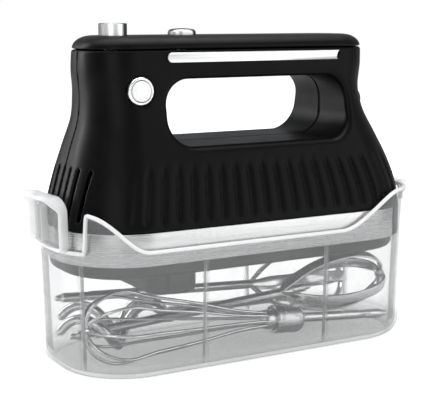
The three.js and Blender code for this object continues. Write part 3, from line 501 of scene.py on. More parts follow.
def makeDustGroup():
    # a breath of dust on what faces up
    group, given, out = newGroup(
        "settledDust",
        [("Color", "Color", (0.5, 0.5, 0.5, 1)), ("Dust", "Color", (0.6, 0.58, 0.55, 1)),
        ("Amount", "Float", 0.05)],
        [("Color", "Color"), ("Mask", "Float")])
    facing = addNode(group, "ShaderNodeSeparateXYZ")
    group.links.new(addNode(group, "ShaderNodeNewGeometry").outputs["Normal"], facing.inputs[0])
    place = addNode(group, "ShaderNodeTexCoord").outputs["Object"]
    patches = remap(group, noise(group, place, 160.0, 6.0, 0.7), 0.35, 0.75)
    upward = remap(group, facing.outputs["Z"], 0.3, 1.0)
    mask = math2(group, "MULTIPLY", math2(group, "MULTIPLY", patches, upward), given.outputs["Amount"])
    group.links.new(mask, out.inputs["Mask"])
    group.links.new(mixColors(group, mask, given.outputs["Color"], given.outputs["Dust"]),
        out.inputs["Color"])
    return group


mouldedGrain = makeGrainGroup()
brushLines = makeBrushGroup()
handlingMarks = makeHandlingGroup()
settledDust = makeDustGroup()


def startMaterial(name):
    material = bpy.data.materials.new(name)
    material.use_nodes = True
    tree = material.node_tree
    return material, tree, tree.nodes["Principled BSDF"]


def useGroup(tree, group, **values):
    node = addNode(tree, "ShaderNodeGroup", node_tree=group)
    for key, value in values.items():
        if isinstance(value, bpy.types.NodeSocket):
            tree.links.new(value, node.inputs[key])
        else:
            node.inputs[key].default_value = value
    return node


def bumpFrom(tree, shader, height, strength, distance):
    bump = addNode(tree, "ShaderNodeBump")
    setInputs(bump, Strength=strength, Distance=distance)
    tree.links.new(height, bump.inputs["Height"])
    tree.links.new(bump.outputs["Normal"], shader.inputs["Normal"])


def grey(value, tint=(1.0, 1.0, 1.0)):
    return (value * tint[0], value * tint[1], value * tint[2], 1.0)


def mouldedPlastic(name, look):
    material, tree, shader = startMaterial(name)
    grain = useGroup(tree, mouldedGrain, Color=look["color"], Fleck=look["fleck"], Scale=look["grainScale"],
                     Roughness=look["roughness"], Spread=look["spread"])
    marks = useGroup(tree, handlingMarks, Roughness=grain.outputs["Roughness"], Scale=70.0,
        Amount=look["marks"])
    dust = useGroup(tree, settledDust, Color=grain.outputs["Color"], Amount=look["dust"])
    tree.links.new(dust.outputs["Color"], shader.inputs["Base Color"])
    tree.links.new(marks.outputs["Roughness"], shader.inputs["Roughness"])
    shader.inputs["Specular IOR Level"].default_value = look["specular"]
    bumpFrom(tree, shader, grain.outputs["Height"], look["bump"], 0.00006)
    return material


def brushedMetal(name, look):
    material, tree, shader = startMaterial(name)
    lines = useGroup(tree, brushLines, Color=look["color"], Dark=look["dark"], Across=look["across"],
                     Roughness=look["roughness"], Spread=look["spread"])
    marks = useGroup(tree, handlingMarks, Roughness=lines.outputs["Roughness"], Scale=110.0,
        Amount=look["marks"])
    tree.links.new(lines.outputs["Color"], shader.inputs["Base Color"])
    tree.links.new(marks.outputs["Roughness"], shader.inputs["Roughness"])
    if "rim" in look:
        # painted dark reflection: the base colour is darkened where a turned face turns away from the view,
        # standing in for the dark surroundings it reflects
        facing = addNode(tree, "ShaderNodeLayerWeight").outputs["Facing"]
        paintedDarkEdge = remap(tree, facing, *look["rim"])
        tree.links.new(mixColors(tree, paintedDarkEdge, lines.outputs["Color"], look["paintedDarkEdge"]),
            shader.inputs["Base Color"])
    shader.inputs["Metallic"].default_value = 1.0
    bumpFrom(tree, shader, lines.outputs["Height"], look["bump"], 0.00003)
    return material


blackBody = mouldedPlastic("matteBlackBody", {
    "color": grey(0.0014), "fleck": grey(0.0034), "grainScale": 1900.0, "roughness": 0.38, "spread": 0.1,
    "marks": 0.06, "dust": 0.002, "specular": 0.085, "bump": 0.25})
darkBase = mouldedPlastic("darkGreyBase", {
    "color": grey(0.026), "fleck": grey(0.036), "grainScale": 1500.0, "roughness": 0.5, "spread": 0.1,
    "marks": 0.05, "dust": 0.02, "specular": 0.35, "bump": 0.3})
whiteButton = mouldedPlastic("whiteButton", {
    "color": grey(0.8), "fleck": grey(0.86), "grainScale": 1500.0, "roughness": 0.3, "spread": 0.06,
    "marks": 0.05, "dust": 0.02, "specular": 0.5, "bump": 0.1})
naturalNylon = mouldedPlastic("naturalNylon", {
    "color": grey(0.7, (1, 0.96, 0.85)), "fleck": grey(0.76, (1, 0.97, 0.88)), "grainScale": 900.0,
    "roughness": 0.5, "spread": 0.1, "marks": 0.05, "dust": 0.02, "specular": 0.4, "bump": 0.2})
carbonBlock = mouldedPlastic("carbonBlock", {
    "color": grey(0.02), "fleck": grey(0.05), "grainScale": 2600.0, "roughness": 0.75, "spread": 0.2,
    "marks": 0.0, "dust": 0.02, "specular": 0.3, "bump": 0.6})
greenBoard = mouldedPlastic("greenBoard", {
    "color": (0.012, 0.1, 0.035, 1), "fleck": (0.02, 0.13, 0.05, 1), "grainScale": 700.0, "roughness": 0.45,
    "spread": 0.1, "marks": 0.05, "dust": 0.03, "specular": 0.5, "bump": 0.2})
bandSteel = brushedMetal("brushedSteelBand", {
    "color": grey(0.66), "dark": grey(0.44), "across": (22.0, 22.0, 4200.0), "roughness": 0.27,
    "spread": 0.14,
    "marks": 0.05, "bump": 0.5})
stripSteel = brushedMetal("satinSteelStrip", {
    "color": grey(0.93), "dark": grey(0.84), "across": (20.0, 20.0, 5200.0), "roughness": 0.4, "spread": 0.1,
    "marks": 0.03, "bump": 0.3})
polishedSteel = brushedMetal("polishedSteel", {
    "color": grey(0.83), "dark": grey(0.74), "across": (300.0, 300.0, 300.0), "roughness": 0.24,
    "spread": 0.08,
    "marks": 0.06, "bump": 0.08})
# the last two settings paint a dark reflection band onto the turned edges of the cap steel
capSteel = brushedMetal("polishedCapSteel", {
    "color": grey(0.9), "dark": grey(0.82), "across": (300.0, 300.0, 300.0), "roughness": 0.42,
    "spread": 0.08,
    "marks": 0.06, "bump": 0.08, "rim": (0.22, 0.42), "paintedDarkEdge": grey(0.07)})
toolSteel = brushedMetal("plainToolSteel", {
    "color": grey(0.88), "dark": grey(0.72), "across": (140.0, 900.0, 900.0), "roughness": 0.17,
    "spread": 0.1,
    "marks": 0.08, "bump": 0.15})
copperWire = brushedMetal("copperWindings", {
    "color": (0.72, 0.32, 0.16, 1), "dark": (0.36, 0.13, 0.06, 1), "across": (2600.0, 300.0, 300.0),
    "roughness": 0.34, "spread": 0.2, "marks": 0.05, "bump": 0.8})
bushBronze = brushedMetal("sinteredBronze", {
    "color": (0.6, 0.42, 0.2, 1), "dark": (0.4, 0.26, 0.11, 1), "across": (1500.0, 1500.0, 1500.0),
    "roughness": 0.45, "spread": 0.2, "marks": 0.05, "bump": 0.5})
coreIron = brushedMetal("stackedCoreIron", {
    "color": grey(0.34), "dark": grey(0.17), "across": (2400.0, 12.0, 12.0), "roughness": 0.5, "spread": 0.25,
    "marks": 0.05, "bump": 0.9})

# the edge colour is a painted highlight for the rims, ribs and edges of the case
clearLook = {
    "haze": grey(0.3, (0.97, 1.0, 1.0)), "edge": grey(0.9), "alpha": 0.2, "edgeAlpha": 0.72,
    "grazing": 0.4, "roughness": 0.1,
}


def clearPlastic(name, look):
    # thin walls let most light through; edges, rims and ribs get a painted highlight: their colour is mixed
    # toward white and made more opaque where the edge light attribute is set
    material, tree, shader = startMaterial(name)
    edges = addNode(tree, "ShaderNodeAttribute", attribute_name="paintedEdgeLight").outputs["Fac"]
    grain = useGroup(tree, mouldedGrain, Color=look["haze"], Fleck=grey(0.36), Scale=400.0,
                     Roughness=look["roughness"], Spread=0.05)
    marks = useGroup(tree, handlingMarks, Roughness=grain.outputs["Roughness"], Scale=60.0, Amount=0.08)
    color = mixColors(tree, edges, grain.outputs["Color"], look["edge"])
    tree.links.new(color, shader.inputs["Base Color"])
    tree.links.new(marks.outputs["Roughness"], shader.inputs["Roughness"])
    facing = addNode(tree, "ShaderNodeLayerWeight")
    facing.inputs["Blend"].default_value = 0.3
    grazing = math2(tree, "MULTIPLY", math2(tree, "POWER", facing.outputs["Facing"], 2.0), look["grazing"])
    clear = math2(tree, "ADD", look["alpha"], grazing)
    body = math2(tree, "ADD", clear, math2(tree, "MULTIPLY", marks.outputs["Mask"], 0.02))
    solid = addNode(tree, "ShaderNodeMix", data_type="FLOAT")
    tree.links.new(edges, solid.inputs[0])
    tree.links.new(body, solid.inputs[2])
    solid.inputs[3].default_value = look["edgeAlpha"]
    tree.links.new(solid.outputs[0], shader.inputs["Alpha"])
    shader.inputs["IOR"].default_value = 1.49
    bumpFrom(tree, shader, grain.outputs["Height"], 0.06, 0.0001)
    return material


clearCase = clearPlastic("clearCasePlastic", clearLook)
print("finishes ready")


# ---- mixer body ----

bandLow, bandHigh = boxMm("steel_band")
skirtZ = bandLow.z
shellHigh = boxMm("left_body_shell")[1]
coverLow, coverHigh = boxMm("top_cover")
ejectAxis = middle("eject_button")
boostAxis = middle("boost_button")
glandAxis = middle("cord_gland")

body = {
    # how far each level stands in from the skirt: share of the height, front, rear, side, corner
    "levels": [
        (0, 0, 0, 0, 0),
        (0.13, 2.8, 2, 2.1, 3),
        (0.3, 6.8, 7.8, 6, 7),
        (0.46, 11, 14.8, 11, 11),
        (0.61, 15, 21.5, 15, 14),
        (0.75, 16, 24.5, 17, 16),
        (0.9, 15.1, 22.7, 17.9, 16),
        (1, 15.4, 22.3, 18.5, 16),
    ],
    "corner": 36.0,
    "wall": 2.2,
    "seam": 0.15,
    "hole": ((-48.5, skirtZ + 54.5), (58.0, skirtZ + 87.0)),
    "holeCorner": 13.0,
    "holeFillet": 3.2,
    "topEdge": 1.3,
    "bandSeat": 1.1,
    "flutePitch": 8.09,
    "fluteShift": 0.11,
    "fluteDepth": 1.15,
    "fluteHeights": (18.0, 22.0, 40.0, 49.0),  # over the skirt's lower edge
    "fluteTrueHeight": 35.0,
    "fluteReach": (-74.0, 93.0),
    "ventPitch": 7.0,
    "ventHalfWidth": 1.0,
    "ventHeights": (skirtZ + 20.0, skirtZ + 45.0),
    "postPlace": (72.0, 27.0), "postHeights": (skirtZ - 3.0, skirtZ + 16.5),
    "step": 0.8,
}


def bodyPlan(z):
    # the level rounded rectangle of the body at each height
    share = np.clip((z - bandHigh.z) / (shellHigh.z - bandHigh.z), 0, 1)
    levels = np.array(body["levels"], float)
    setback = [smoothCurve(levels[:, 0], levels[:, i], share) for i in range(1, 5)]
    return {
        "front": -bandLow.x - setback[0],
        "rear": -bandLow.x - setback[1],
        "half": bandHigh.y - setback[2],
        "corner": body["corner"] - setback[3],
    }


def planField(x, y, plan):
    centre = (plan["rear"] - plan["front"]) / 2
    qx = np.abs(x - centre) - ((plan["rear"] + plan["front"]) / 2 - plan["corner"])
    qy = np.abs(y) - (plan["half"] - plan["corner"])
    return np.hypot(np.maximum(qx, 0), np.maximum(qy, 0)) + np.minimum(np.maximum(qx, qy), 0) - plan["corner"]


def flutes(x, z, plan):
    # soft upright reeds that fan out as the body widens
    middlePlan = bodyPlan(np.array(skirtZ + body["fluteTrueHeight"]))
    spread = np.where(x > 0, plan["rear"] / middlePlan["rear"], plan["front"] / middlePlan["front"])
    phase = x / spread / body["flutePitch"] + body["fluteShift"]
    valley = (1 - np.abs(np.sin(np.pi * phase))) ** 1.7
    low0, low1, high0, high1 = body["fluteHeights"]
    heights = smoothStep(low0, low1, z - skirtZ) * (1 - smoothStep(high0, high1, z - skirtZ))
    start, end = body["fluteReach"]
    along = smoothStep(start - 3, start + 5, x / spread) * (1 - smoothStep(end - 4, end + 2, x / spread))
    return body["fluteDepth"] * valley * heights * along


def shellHalf(name, side):
    low = (bandLow.x, -bandHigh.y, bandLow.z)
    high = (-bandLow.x, 0, shellHigh.z)
    (x, y, z), start = gridOver(low, high, body["step"])
    plan = bodyPlan(z)
    skin = planField(x, y, plan)
    outer = skin + flutes(x, z, plan)
    seat = np.where((z < bandHigh.z + 0.3) & (x < bandHigh.x + 0.3), body["bandSeat"], 0.0)
    outer = outer + seat
    hole = roundedRect(x, z, *body["hole"], body["holeCorner"])
    outer = roundCommon(outer, -hole, body["holeFillet"])
    outer = roundCommon(outer, z - shellHigh.z, body["topEdge"])
    deeper = np.where(z < bandHigh.z + 1, body["bandSeat"] + body["wall"], body["wall"])
    cavity = np.maximum(skin + deeper, body["wall"] - hole)
    postX, postY = body["postPlace"]
    postLow, postHigh = body["postHeights"]
    post = np.maximum(np.hypot(np.abs(x) - postX, y + postY) - 4, np.maximum(z - postHigh, postLow - z))
    field = np.minimum(np.maximum(outer, -cavity), np.maximum(post, outer))
    for i in range(-3, 1):
        vent = roundedRect(y, z, (body["ventPitch"] * i - body["ventHalfWidth"], body["ventHeights"][0]),
                           (body["ventPitch"] * i + body["ventHalfWidth"], body["ventHeights"][1]), 1.0)
        field = np.maximum(field, -np.maximum(vent, x + 70))
    if side < 0:
        seatHole = np.hypot(x - boostAxis.x, z - boostAxis.z) - 7.0
        field = np.maximum(field, -np.maximum(seatHole, y + 10))
    gland = np.hypot(y, z - glandAxis.z) - 7.3
    field = np.maximum(field, -np.maximum(gland, 68 - x))
    field = np.maximum(field, np.maximum(bandLow.z - z, y + body["seam"]))
    made = fieldObject(name, field, start, body["step"], blackBody)
    if side > 0:
        mesh = made.data
        mesh.transform(Matrix.Scale(-1, 4, (0, 1, 0)))
        mesh.flip_normals()
    return made


place(shellHalf("left_housing", -1), "mixer", "matte_black", "left_body_shell")
place(shellHalf("right_housing", 1), "mixer", "matte_black", "right_body_shell")
print("body halves ready")

cover = {
    "inset": 0.2,
    "crownInset": 10.0,
    "wall": 2.2,
    "ejectHole": 7.4,
    "slotHalfWidth": 2.2,
    "recessHalfWidth": 7.6,
    "recessDepth": 0.7,
    "recessMargin": 3.5,
    "lowerEdge": 0.7,
    "step": 0.6,
}


def topCover():
    low = (coverLow.x, coverLow.y, coverLow.z)
    high = (coverHigh.x, coverHigh.y, coverHigh.z)
    (x, y, z), start = gridOver(low, high, cover["step"])
    rise = coverHigh.z - coverLow.z
    height = z - coverLow.z
    skin = planField(x, y, bodyPlan(np.full_like(z, shellHigh.z))) + cover["inset"]

    def crown(inset, top, width):
        across = np.maximum(skin + inset + width, 0) / width
        return (np.hypot(across, np.maximum(height, 0) / top) - 1) * top

    field = crown(0.0, rise, cover["crownInset"])
    field = roundCommon(field, -height, cover["lowerEdge"])
    inner = crown(cover["wall"], rise - cover["wall"], cover["crownInset"] - cover["wall"])
    field = np.maximum(field, -inner)
    sliderLow, sliderHigh = boxMm("speed_slider")
    travel = 16.0
    track = roundedRect(x, y, (sliderLow.x - travel - cover["recessMargin"], -cover["recessHalfWidth"]),
                        (sliderHigh.x + cover["recessMargin"], cover["recessHalfWidth"]),
                        cover["recessHalfWidth"] - 0.1)
    recess = np.maximum(track, coverHigh.z - cover["recessDepth"] - z)
    field = roundCommon(field, -recess, 0.4)
    hole = np.hypot(x - ejectAxis.x, y) - cover["ejectHole"]
    field = roundCommon(field, -hole, 0.5)
    slot = roundedRect(x, y, (middle("speed_slider").x - travel - 2.8, -cover["slotHalfWidth"]),
                       (middle("speed_slider").x + 2.8, cover["slotHalfWidth"]), 2.0)
    field = np.maximum(field, -slot)
    return fieldObject("handle_cover", field, start, cover["step"], blackBody)


place(topCover(), "mixer", "matte_black", "top_cover")
print("handle cover ready")


# ---- level outlines as columns: a point on the inner rectangle and the way out from it ----

def outline(front, rear, half, corner, spacing=2.0, extra=()):
    # s runs from the middle of the rear end past +Y, the nose and -Y, measured at the corner radius
    lengths = [half - corner, corner * math.pi / 2, front + rear - 2 * corner, corner * math.pi / 2,
               2 * (half - corner), corner * math.pi / 2, front + rear - 2 * corner, corner * math.pi / 2,
               half - corner]
    total = sum(lengths)
    s = np.arange(0, total, total / round(total / spacing))
    s = np.unique(np.round(np.concatenate([s, np.mod(np.array(extra, float), total)]), 4))
    edges = np.concatenate([[0], np.cumsum(lengths)])
    k = np.clip(np.searchsorted(edges, s, side="right") - 1, 0, 8)
    t = (s - edges[k]) / np.array(lengths)[k]
    x0, x1, y1 = -(front - corner), rear - corner, half - corner
    corners = [(x1, y1), (x0, y1), (x0, -y1), (x1, -y1)]
    starts = [(x1, 0), corners[0], corners[0], corners[1], corners[1], corners[2], corners[2], corners[3],
        corners[3]]
    ends = [corners[0], corners[0], corners[1], corners[1], corners[2], corners[2], corners[3], corners[3],
        (x1, 0)]
    quarter = [0, 0, 1, 1, 2, 2, 3, 3, 4]
    turning = [0, 1, 0, 1, 0, 1, 0, 1, 0]
    base = np.array(starts)[k] * (1 - t)[:, None] + np.array(ends)[k] * t[:, None]
    angle = (np.array(quarter)[k] + np.array(turning)[k] * t) * math.pi / 2
    return s, base, np.stack([np.cos(angle), np.sin(angle)], -1)


def outlineNet(base, normal, reach, heights):
    # reach and heights are columns x rows
    flat = base[:, None] + normal[:, None] * reach[..., None]
    return np.concatenate([flat, heights[..., None]], -1)


def steelBand():
    front, half, corner = -bandLow.x, bandHigh.y, body["corner"]
    _, base, normal = outline(front, front, half, corner, 1.6)
    section = roundedSection((-0.8, bandLow.z), (0.0, bandHigh.z), 0.38, 4)
    section[:,
        0] += 0.28 * np.cos((section[:, 1] - bandLow.z) / (bandHigh.z - bandLow.z) * 2 * np.pi - np.pi) * 0.5
    x = base[:, 0] + normal[:, 0] * corner
    keep = x < bandHigh.x
    base, normal = base[keep], normal[keep]
    reach = corner + np.repeat(section[None, :, 0], len(base), 0)
    heights = np.repeat(section[None, :, 1], len(base), 0)
    return netObject("skirt_band", outlineNet(base, normal, reach, heights), bandSteel)


place(steelBand(), "mixer", "brushed_steel", "steel_band")

strip = {
    "edge": 0.35,
    "slant": 1.2,
    "concave": 0.9,
}


def handleStrip(name, node):
    low, high = boxMm(node)
    radius = (high.z - low.z) / 2
    outlinePoints = []
    for i in range(25):
        angle = math.pi / 2 + math.pi * i / 24
        outlinePoints.append((low.x + radius + radius * math.cos(angle),
            low.z + radius + radius * math.sin(angle)))
    for i in range(13):
        t = i / 12
        dip = strip["concave"] * 4 * t * (1 - t)
        outlinePoints.append((high.x - strip["slant"] * (1 - t) - dip, low.z + (high.z - low.z) * t))
    ring = np.array(outlinePoints)
    along = np.roll(ring, -1, 0) - np.roll(ring, 1, 0)
    shrink = np.stack([along[:, 1], -along[:, 0]], -1) / np.linalg.norm(along, axis=1)[:, None]
    outward = -1 if high.y < 0 else 1
    face, back = (low.y, high.y) if outward < 0 else (high.y, low.y)
    rows = []
    for depth, inset in ((back, 0.0), (face - outward * strip["edge"], 0.0), (face - outward * 0.1, 0.12),
                         (face, strip["edge"])):
        flat = ring - shrink * inset
        rows.append(np.stack([flat[:, 0], np.full(len(flat), depth), flat[:, 1]], -1))
    return netObject(name, np.array(rows), stripSteel)


for side in ("left", "right"):
    place(handleStrip(f"{side}_trim_strip", f"{side}_handle_strip"), "mixer", "brushed_steel",
        f"{side}_handle_strip")

# ---- base cover with the spindle boss ----

baseLow, baseHigh = boxMm("base_cover")
base = {
    "inset": 3.6,
    "wall": 2.0,
    "floor": 3.2,
    "lowerEdge": 3.0,
    "bottomZ": skirtZ - 7.0,
    "boss": ((-60.0, -32.0), (-32.0, 32.0)),
    "bossCorner": 13.0,
    "spindleBore": 5.9,
    "screwRecess": 3.4,
    "step": 0.9,
}


def baseCover():
    (x, y, z), start = gridOver((bandLow.x + 2, -bandHigh.y + 2, baseLow.z),
        (-bandLow.x - 2, bandHigh.y - 2, baseHigh.z),
                                base["step"])
    skin = planField(x, y, bodyPlan(np.full_like(z, bandLow.z))) + base["inset"]
    tub = roundCommon(skin, base["bottomZ"] - z, base["lowerEdge"])
    tub = np.maximum(tub, z - baseHigh.z)
    tub = np.maximum(tub, -np.maximum(skin + base["wall"], base["bottomZ"] + base["floor"] - z))
    boss = roundedRect(x, y, *base["boss"], base["bossCorner"])
    boss = roundCommon(boss, baseLow.z - z, 1.6)
    boss = np.maximum(boss, z - base["bottomZ"] - base["floor"])
    field = np.minimum(tub, boss)
    groove = np.abs(skin + 9) - 0.8
    field = np.maximum(field, -np.maximum(groove, z - base["bottomZ"] - 0.8))
    for node in ("left_spindle", "right_spindle"):
        axis = middle(node)
        field = np.maximum(field, base["spindleBore"] - np.hypot(x - axis.x, y - axis.y))
    for i in range(1, 5):
        axis = middle(f"base_screw_{i}")
        across = np.hypot(x - axis.x, y - axis.y)
        field = np.maximum(field, 1.8 - across)
        field = np.maximum(field, -np.maximum(across - base["screwRecess"], z - base["bottomZ"] - 2))
    return fieldObject("base_tray", field, start, base["step"], darkBase)


place(baseCover(), "mixer", "dark_grey", "base_cover")
print("band, strips and base ready")

# ---- buttons ----

def ejectCap():
    low, high = boxMm("eject_button")
    flange, radius = (high.x - low.x) / 2, 7.0
    profile = [(0, low.z + 1.0), (2.8, low.z + 1.0), (2.8, low.z), (flange, low.z), (flange, low.z + 1.5),
               (radius, low.z + 1.6), (radius, high.z), (0, high.z)]
    soft = softProfile(profile, 0.55)
    return lathe("eject_cap", soft, (ejectAxis.x, ejectAxis.y, 0), (0, 0, 1), capSteel, 96)


place(ejectCap(), "eject", "polished_steel", "eject_button")


spring = {"wire": 0.5, "turns": 7.0, "points": 240, "travel": 6.0}


def returnSpring():
    # a wire coil whose end turns close up; it shortens as the button goes down
    low, high = boxMm("eject_spring")
    centre, length = (low + high) / 2, high.z - low.z
    coil = (high.x - low.x) / 2 - spring["wire"]
    t = np.linspace(0, 1, spring["points"])
    share = t - 0.9 * np.sin(2 * math.pi * t) / (2 * math.pi)
    angle = 2 * math.pi * spring["turns"] * t
    points = np.stack([
        ejectAxis.x + coil * np.cos(angle), centre.y + coil * np.sin(angle),
        low.z + spring["wire"] + (length - 2 * spring["wire"]) * share,
    ], -1)
    piece = tube("return_coil", points, spring["wire"], toolSteel, 10)
    place(piece, "mixer", "polished_steel", "eject_spring")
    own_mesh(piece)


returnSpring()


def sliderCap():
    low, high = boxMm("speed_slider")
    centre = (low + high) / 2
    lengthHalf, widthHalf = (high.x - low.x) / 2, (high.y - low.y) / 2
    low.z -= 0.55
    (x, y, z), start = gridOver(low, high, 0.2)
    plan = roundedRect(x, y, (low.x, low.y), (high.x, high.y), widthHalf - 0.3)
    dome = high.z - 0.9 * ((x - centre.x) / lengthHalf) ** 2 - 0.35 * ((y - centre.y) / widthHalf) ** 2
    field = roundCommon(plan, z - dome, 1.5)
    for i in (-1, 0, 1):
        groove = np.hypot(x - centre.x - 2.2 * i, z - high.z - 0.15) - 0.55
        field = np.maximum(field, -groove)
    field = np.maximum(field, low.z - z)
    field = np.maximum(field,
        -np.maximum(np.maximum(np.abs(x - centre.x) - 2.3, np.abs(y) - 2.0), z - high.z + 1))
    return fieldObject("slider_cap", field, start, 0.2, capSteel)


place(sliderCap(), "speed", "polished_steel", "speed_slider")


def boostRing():
    low, high = boxMm("boost_bezel")
    outer, inner = (high.x - low.x) / 2, 5.35
    depth = high.y - low.y
    profile = [(inner, 0.0), (inner, depth - 0.2), (inner + 0.3, depth), (outer - 0.5, depth),
        (outer, depth - 0.5),
               (outer, 0.0), (inner, 0.0)]
    origin = (boostAxis.x, high.y, boostAxis.z)
    return turnedRing("boost_ring", softProfile(profile, 0.3), origin, (0, -1, 0), polishedSteel, 96)


place(boostRing(), "mixer", "polished_steel", "boost_bezel")


def boostCap():
    low, high = boxMm("boost_button")
    radius = (high.x - low.x) / 2
    length = high.y - low.y
    profile = [(0, 0), (radius, 0), (radius, length - 0.6), (radius - 0.5, length - 0.15),
        (radius * 0.78, length),
               (radius * 0.74, length - 0.25), (radius * 0.7, length - 0.05), (0, length + 0.12)]
    return lathe("boost_cap", softProfile(profile, 0.3), (boostAxis.x, high.y, boostAxis.z), (0, -1, 0),
        whiteButton, 96)


place(boostCap(), "boost", "white_plastic", "boost_button")


def glandSleeve():
    low, high = boxMm("cord_gland")
    radius, bore = (high.y - low.y) / 2, 3.3
    length = high.x - low.x
    points = [(bore, 0), (radius, 0), (radius, length * 0.6), (radius - 0.8, length * 0.68),
        (radius - 0.8, length * 0.74),
              (radius - 0.4, length * 0.8), (5.2, length), (bore, length), (bore, 0)]
    origin = (low.x, glandAxis.y, glandAxis.z)
    return turnedRing("gland_sleeve", softProfile(points, 0.4), origin, (1, 0, 0), darkBase)


place(glandSleeve(), "mixer", "dark_grey", "cord_gland")
print("buttons ready")

# ---- storage case ----

case = {
    "halfLength": 101.0, "halfWidth": 43.0, "corner": 37.0, "draft": 0.03, "draftZ": skirtZ,
    "wall": 1.8, "floor": 2.2, "fillet": 7.0, "innerFillet": 4.8,
    "scoopZ": skirtZ + 7.5, "shoulderZ": skirtZ + 25.5, "frontRise": (-68.0, -96.0), "rearRise": (43.0, 83.0),
    "notchHalf": 29.0, "notchBottomZ": skirtZ + 6.5, "notchSoftness": 0.9,
    "ribX": 36.0, "ribWidth": 2.2, "ribDepth": 3.4, "ribTopZ": skirtZ - 0.3, "ribAngle": math.atan2(17, 32),
    "bead": 1.05,
    "lipReach": 7.0, "lipThickness": 2.3, "rearHalf": 20.0,
    "tongueTopZ": skirtZ + 33.0, "tongueHalf": 20.0, "tongueCorner": 8.0, "tongueSide": 3.2,
}


def wallReach(offset, z):
    # distance from the inner rectangle to the wall; offset 0 is the inner face
    return case["corner"] + offset + (z - case["draftZ"]) * case["draft"]


def rimHeight(x, y):
    span = case["shoulderZ"] - case["scoopZ"]

    def rise(low, high):
        share = np.clip((x - low) / (high - low), 0, 1)
        return span * (1 - np.cos(np.pi * share)) / 2

    rim = case["scoopZ"] + np.maximum(rise(*case["frontRise"]), rise(*case["rearRise"]))
    soft = case["notchSoftness"]
    open_ = 1 - smoothStep(case["notchHalf"] - soft, case["notchHalf"] + soft, np.abs(y))
    open_ = np.where(x < 0, open_, 0.0)
    return rim + (case["notchBottomZ"] - rim) * open_


def caseColumns():
    length, width, corner = case["halfLength"], case["halfWidth"], case["corner"]
    straightEnd = width - corner
    arc = corner * math.pi / 2
    side = 2 * (length - corner)
    ribs = []
    for x in (case["ribX"], -case["ribX"]):
        ribs.append(straightEnd + arc + (length - corner - x))
        ribs.append(straightEnd + arc + side + arc + 2 * straightEnd + arc + (length - corner + x))
    angle = case["ribAngle"] * corner
    ribs += [straightEnd + angle, straightEnd + arc + side + arc - angle]
    ribs += [straightEnd + arc + side + arc + 2 * straightEnd + angle,
             straightEnd + 4 * arc + 2 * side + 2 * straightEnd - angle]
    extra = []
    for s in ribs:
        for step in (-1.6, -1.15, -0.95, -0.4, 0.4, 0.95, 1.15, 1.6):
            extra.append(s + step * case["ribWidth"] / 2.2)
    noseMiddle = straightEnd + arc + side + arc + straightEnd
    notch = straightEnd + corner * math.asin((case["notchHalf"] - straightEnd) / (corner + 1.7))
    for side_ in (-1, 1):
        for step in np.linspace(-2.4, 2.4, 17):
            extra.append(noseMiddle + side_ * (notch + step))
    s, base_, normal = outline(length, length, width, corner, 1.9, extra)
    total = 2 * side + 4 * arc + 4 * straightEnd
    apart = np.min([np.abs((s - r + total / 2) % total - total / 2) for r in ribs], axis=0)
    ribMask = 1 - smoothStep(case["ribWidth"] / 2 - 0.12, case["ribWidth"] / 2 + 0.1, apart)
    return s, base_, normal, ribMask


def caseTub():
    s, base_, normal, ribMask = caseColumns()
    middleWall = base_ + normal * (case["corner"] + case["wall"] / 2 + 0.6)
    rim = rimHeight(middleWall[:, 0], middleWall[:, 1])
    wall, fillet, inner = case["wall"], case["fillet"], case["innerFillet"]
    # the edge light in each row is a painted highlight: it whitens the rim, fillets and ribs of the clear
    # case
    rows = []  # (offset, height, edge light) per column
    ones = np.ones(len(s))

    def row(offset, height, light):
        rows.append((offset * ones, height * ones, light * ones))

    for offset in (-34, -22, -12):
        row(wall - fillet + offset * 0.8, 0.0, 0.18)
    for i in range(10):
        angle = i / 9 * math.pi / 2
        row(wall - fillet + fillet * math.sin(angle), fillet * (1 - math.cos(angle)), 0.3)
    lowRows = np.linspace(fillet + 1.5, case["ribTopZ"] - 0.1, 16)
    for z in lowRows:
        row(wall, z, 0.22 * max(0, 1 - (z - fillet) / 5))
    shares = np.array([0.08, 0.25, 0.45, 0.65, 0.82, 0.93, 1.0])
    for share in shares:
        rows.append((wall * ones, skirtZ + (rim - skirtZ) * share, ones * (share > 0.97)))
    rows.append((0 * ones, 1.0 * rim, ones))
    for share in shares[::-1][1:]:
        rows.append((0 * ones, skirtZ + (rim - skirtZ) * share, 0 * ones))
    row(0.0, case["ribTopZ"] + 0.15, 0.0)
    for z in lowRows[::-1]:
        rows.append((-case["ribDepth"] * ribMask, z * ones, 0.65 * ribMask))
    for i in range(8):
        angle = (1 - i / 7) * math.pi / 2
        offset = -inner + inner * math.sin(angle)
        height = case["floor"] + inner * (1 - math.cos(angle))
        rows.append((np.minimum(offset, -case["ribDepth"] * ribMask), height * ones, 0.3 + 0.35 * ribMask))
    for offset in (-9, -18, -32):
        row(-inner + offset * 0.8, case["floor"], 0.12)
    offsets = np.array([r[0] for r in rows]).T
    heights = np.array([r[1] for r in rows]).T
    light = np.array([r[2] for r in rows]).T
    net = outlineNet(base_, normal, wallReach(offsets, heights), heights)
    made = netObject("case_tub", np.transpose(net, (1, 0, 2)), clearCase)
    setEdgeLight(made, light.T.ravel())
    # a rounded bead all along the rim, painted fully white as a painted highlight
    points = np.concatenate([base_ + normal * wallReach(wall / 2, rim)[:, None], (rim - 0.2)[:, None]], -1)
    sideways = np.concatenate([normal, np.zeros((len(s), 1))], -1)
    bead = tube("case_rim_bead", points, case["bead"], clearCase, 14, True, sideways)
    lightWhole(bead, 1.0)
    return made, bead


# stores the painted highlight of the clear case, one value per point
def setEdgeLight(piece, values):
    attribute = piece.data.attributes.new("paintedEdgeLight", "FLOAT", "POINT")
    attribute.data.foreach_set("value", np.asarray(values, np.float32))


def lightWhole(piece, value):
    setEdgeLight(piece, np.full(len(piece.data.vertices), value))


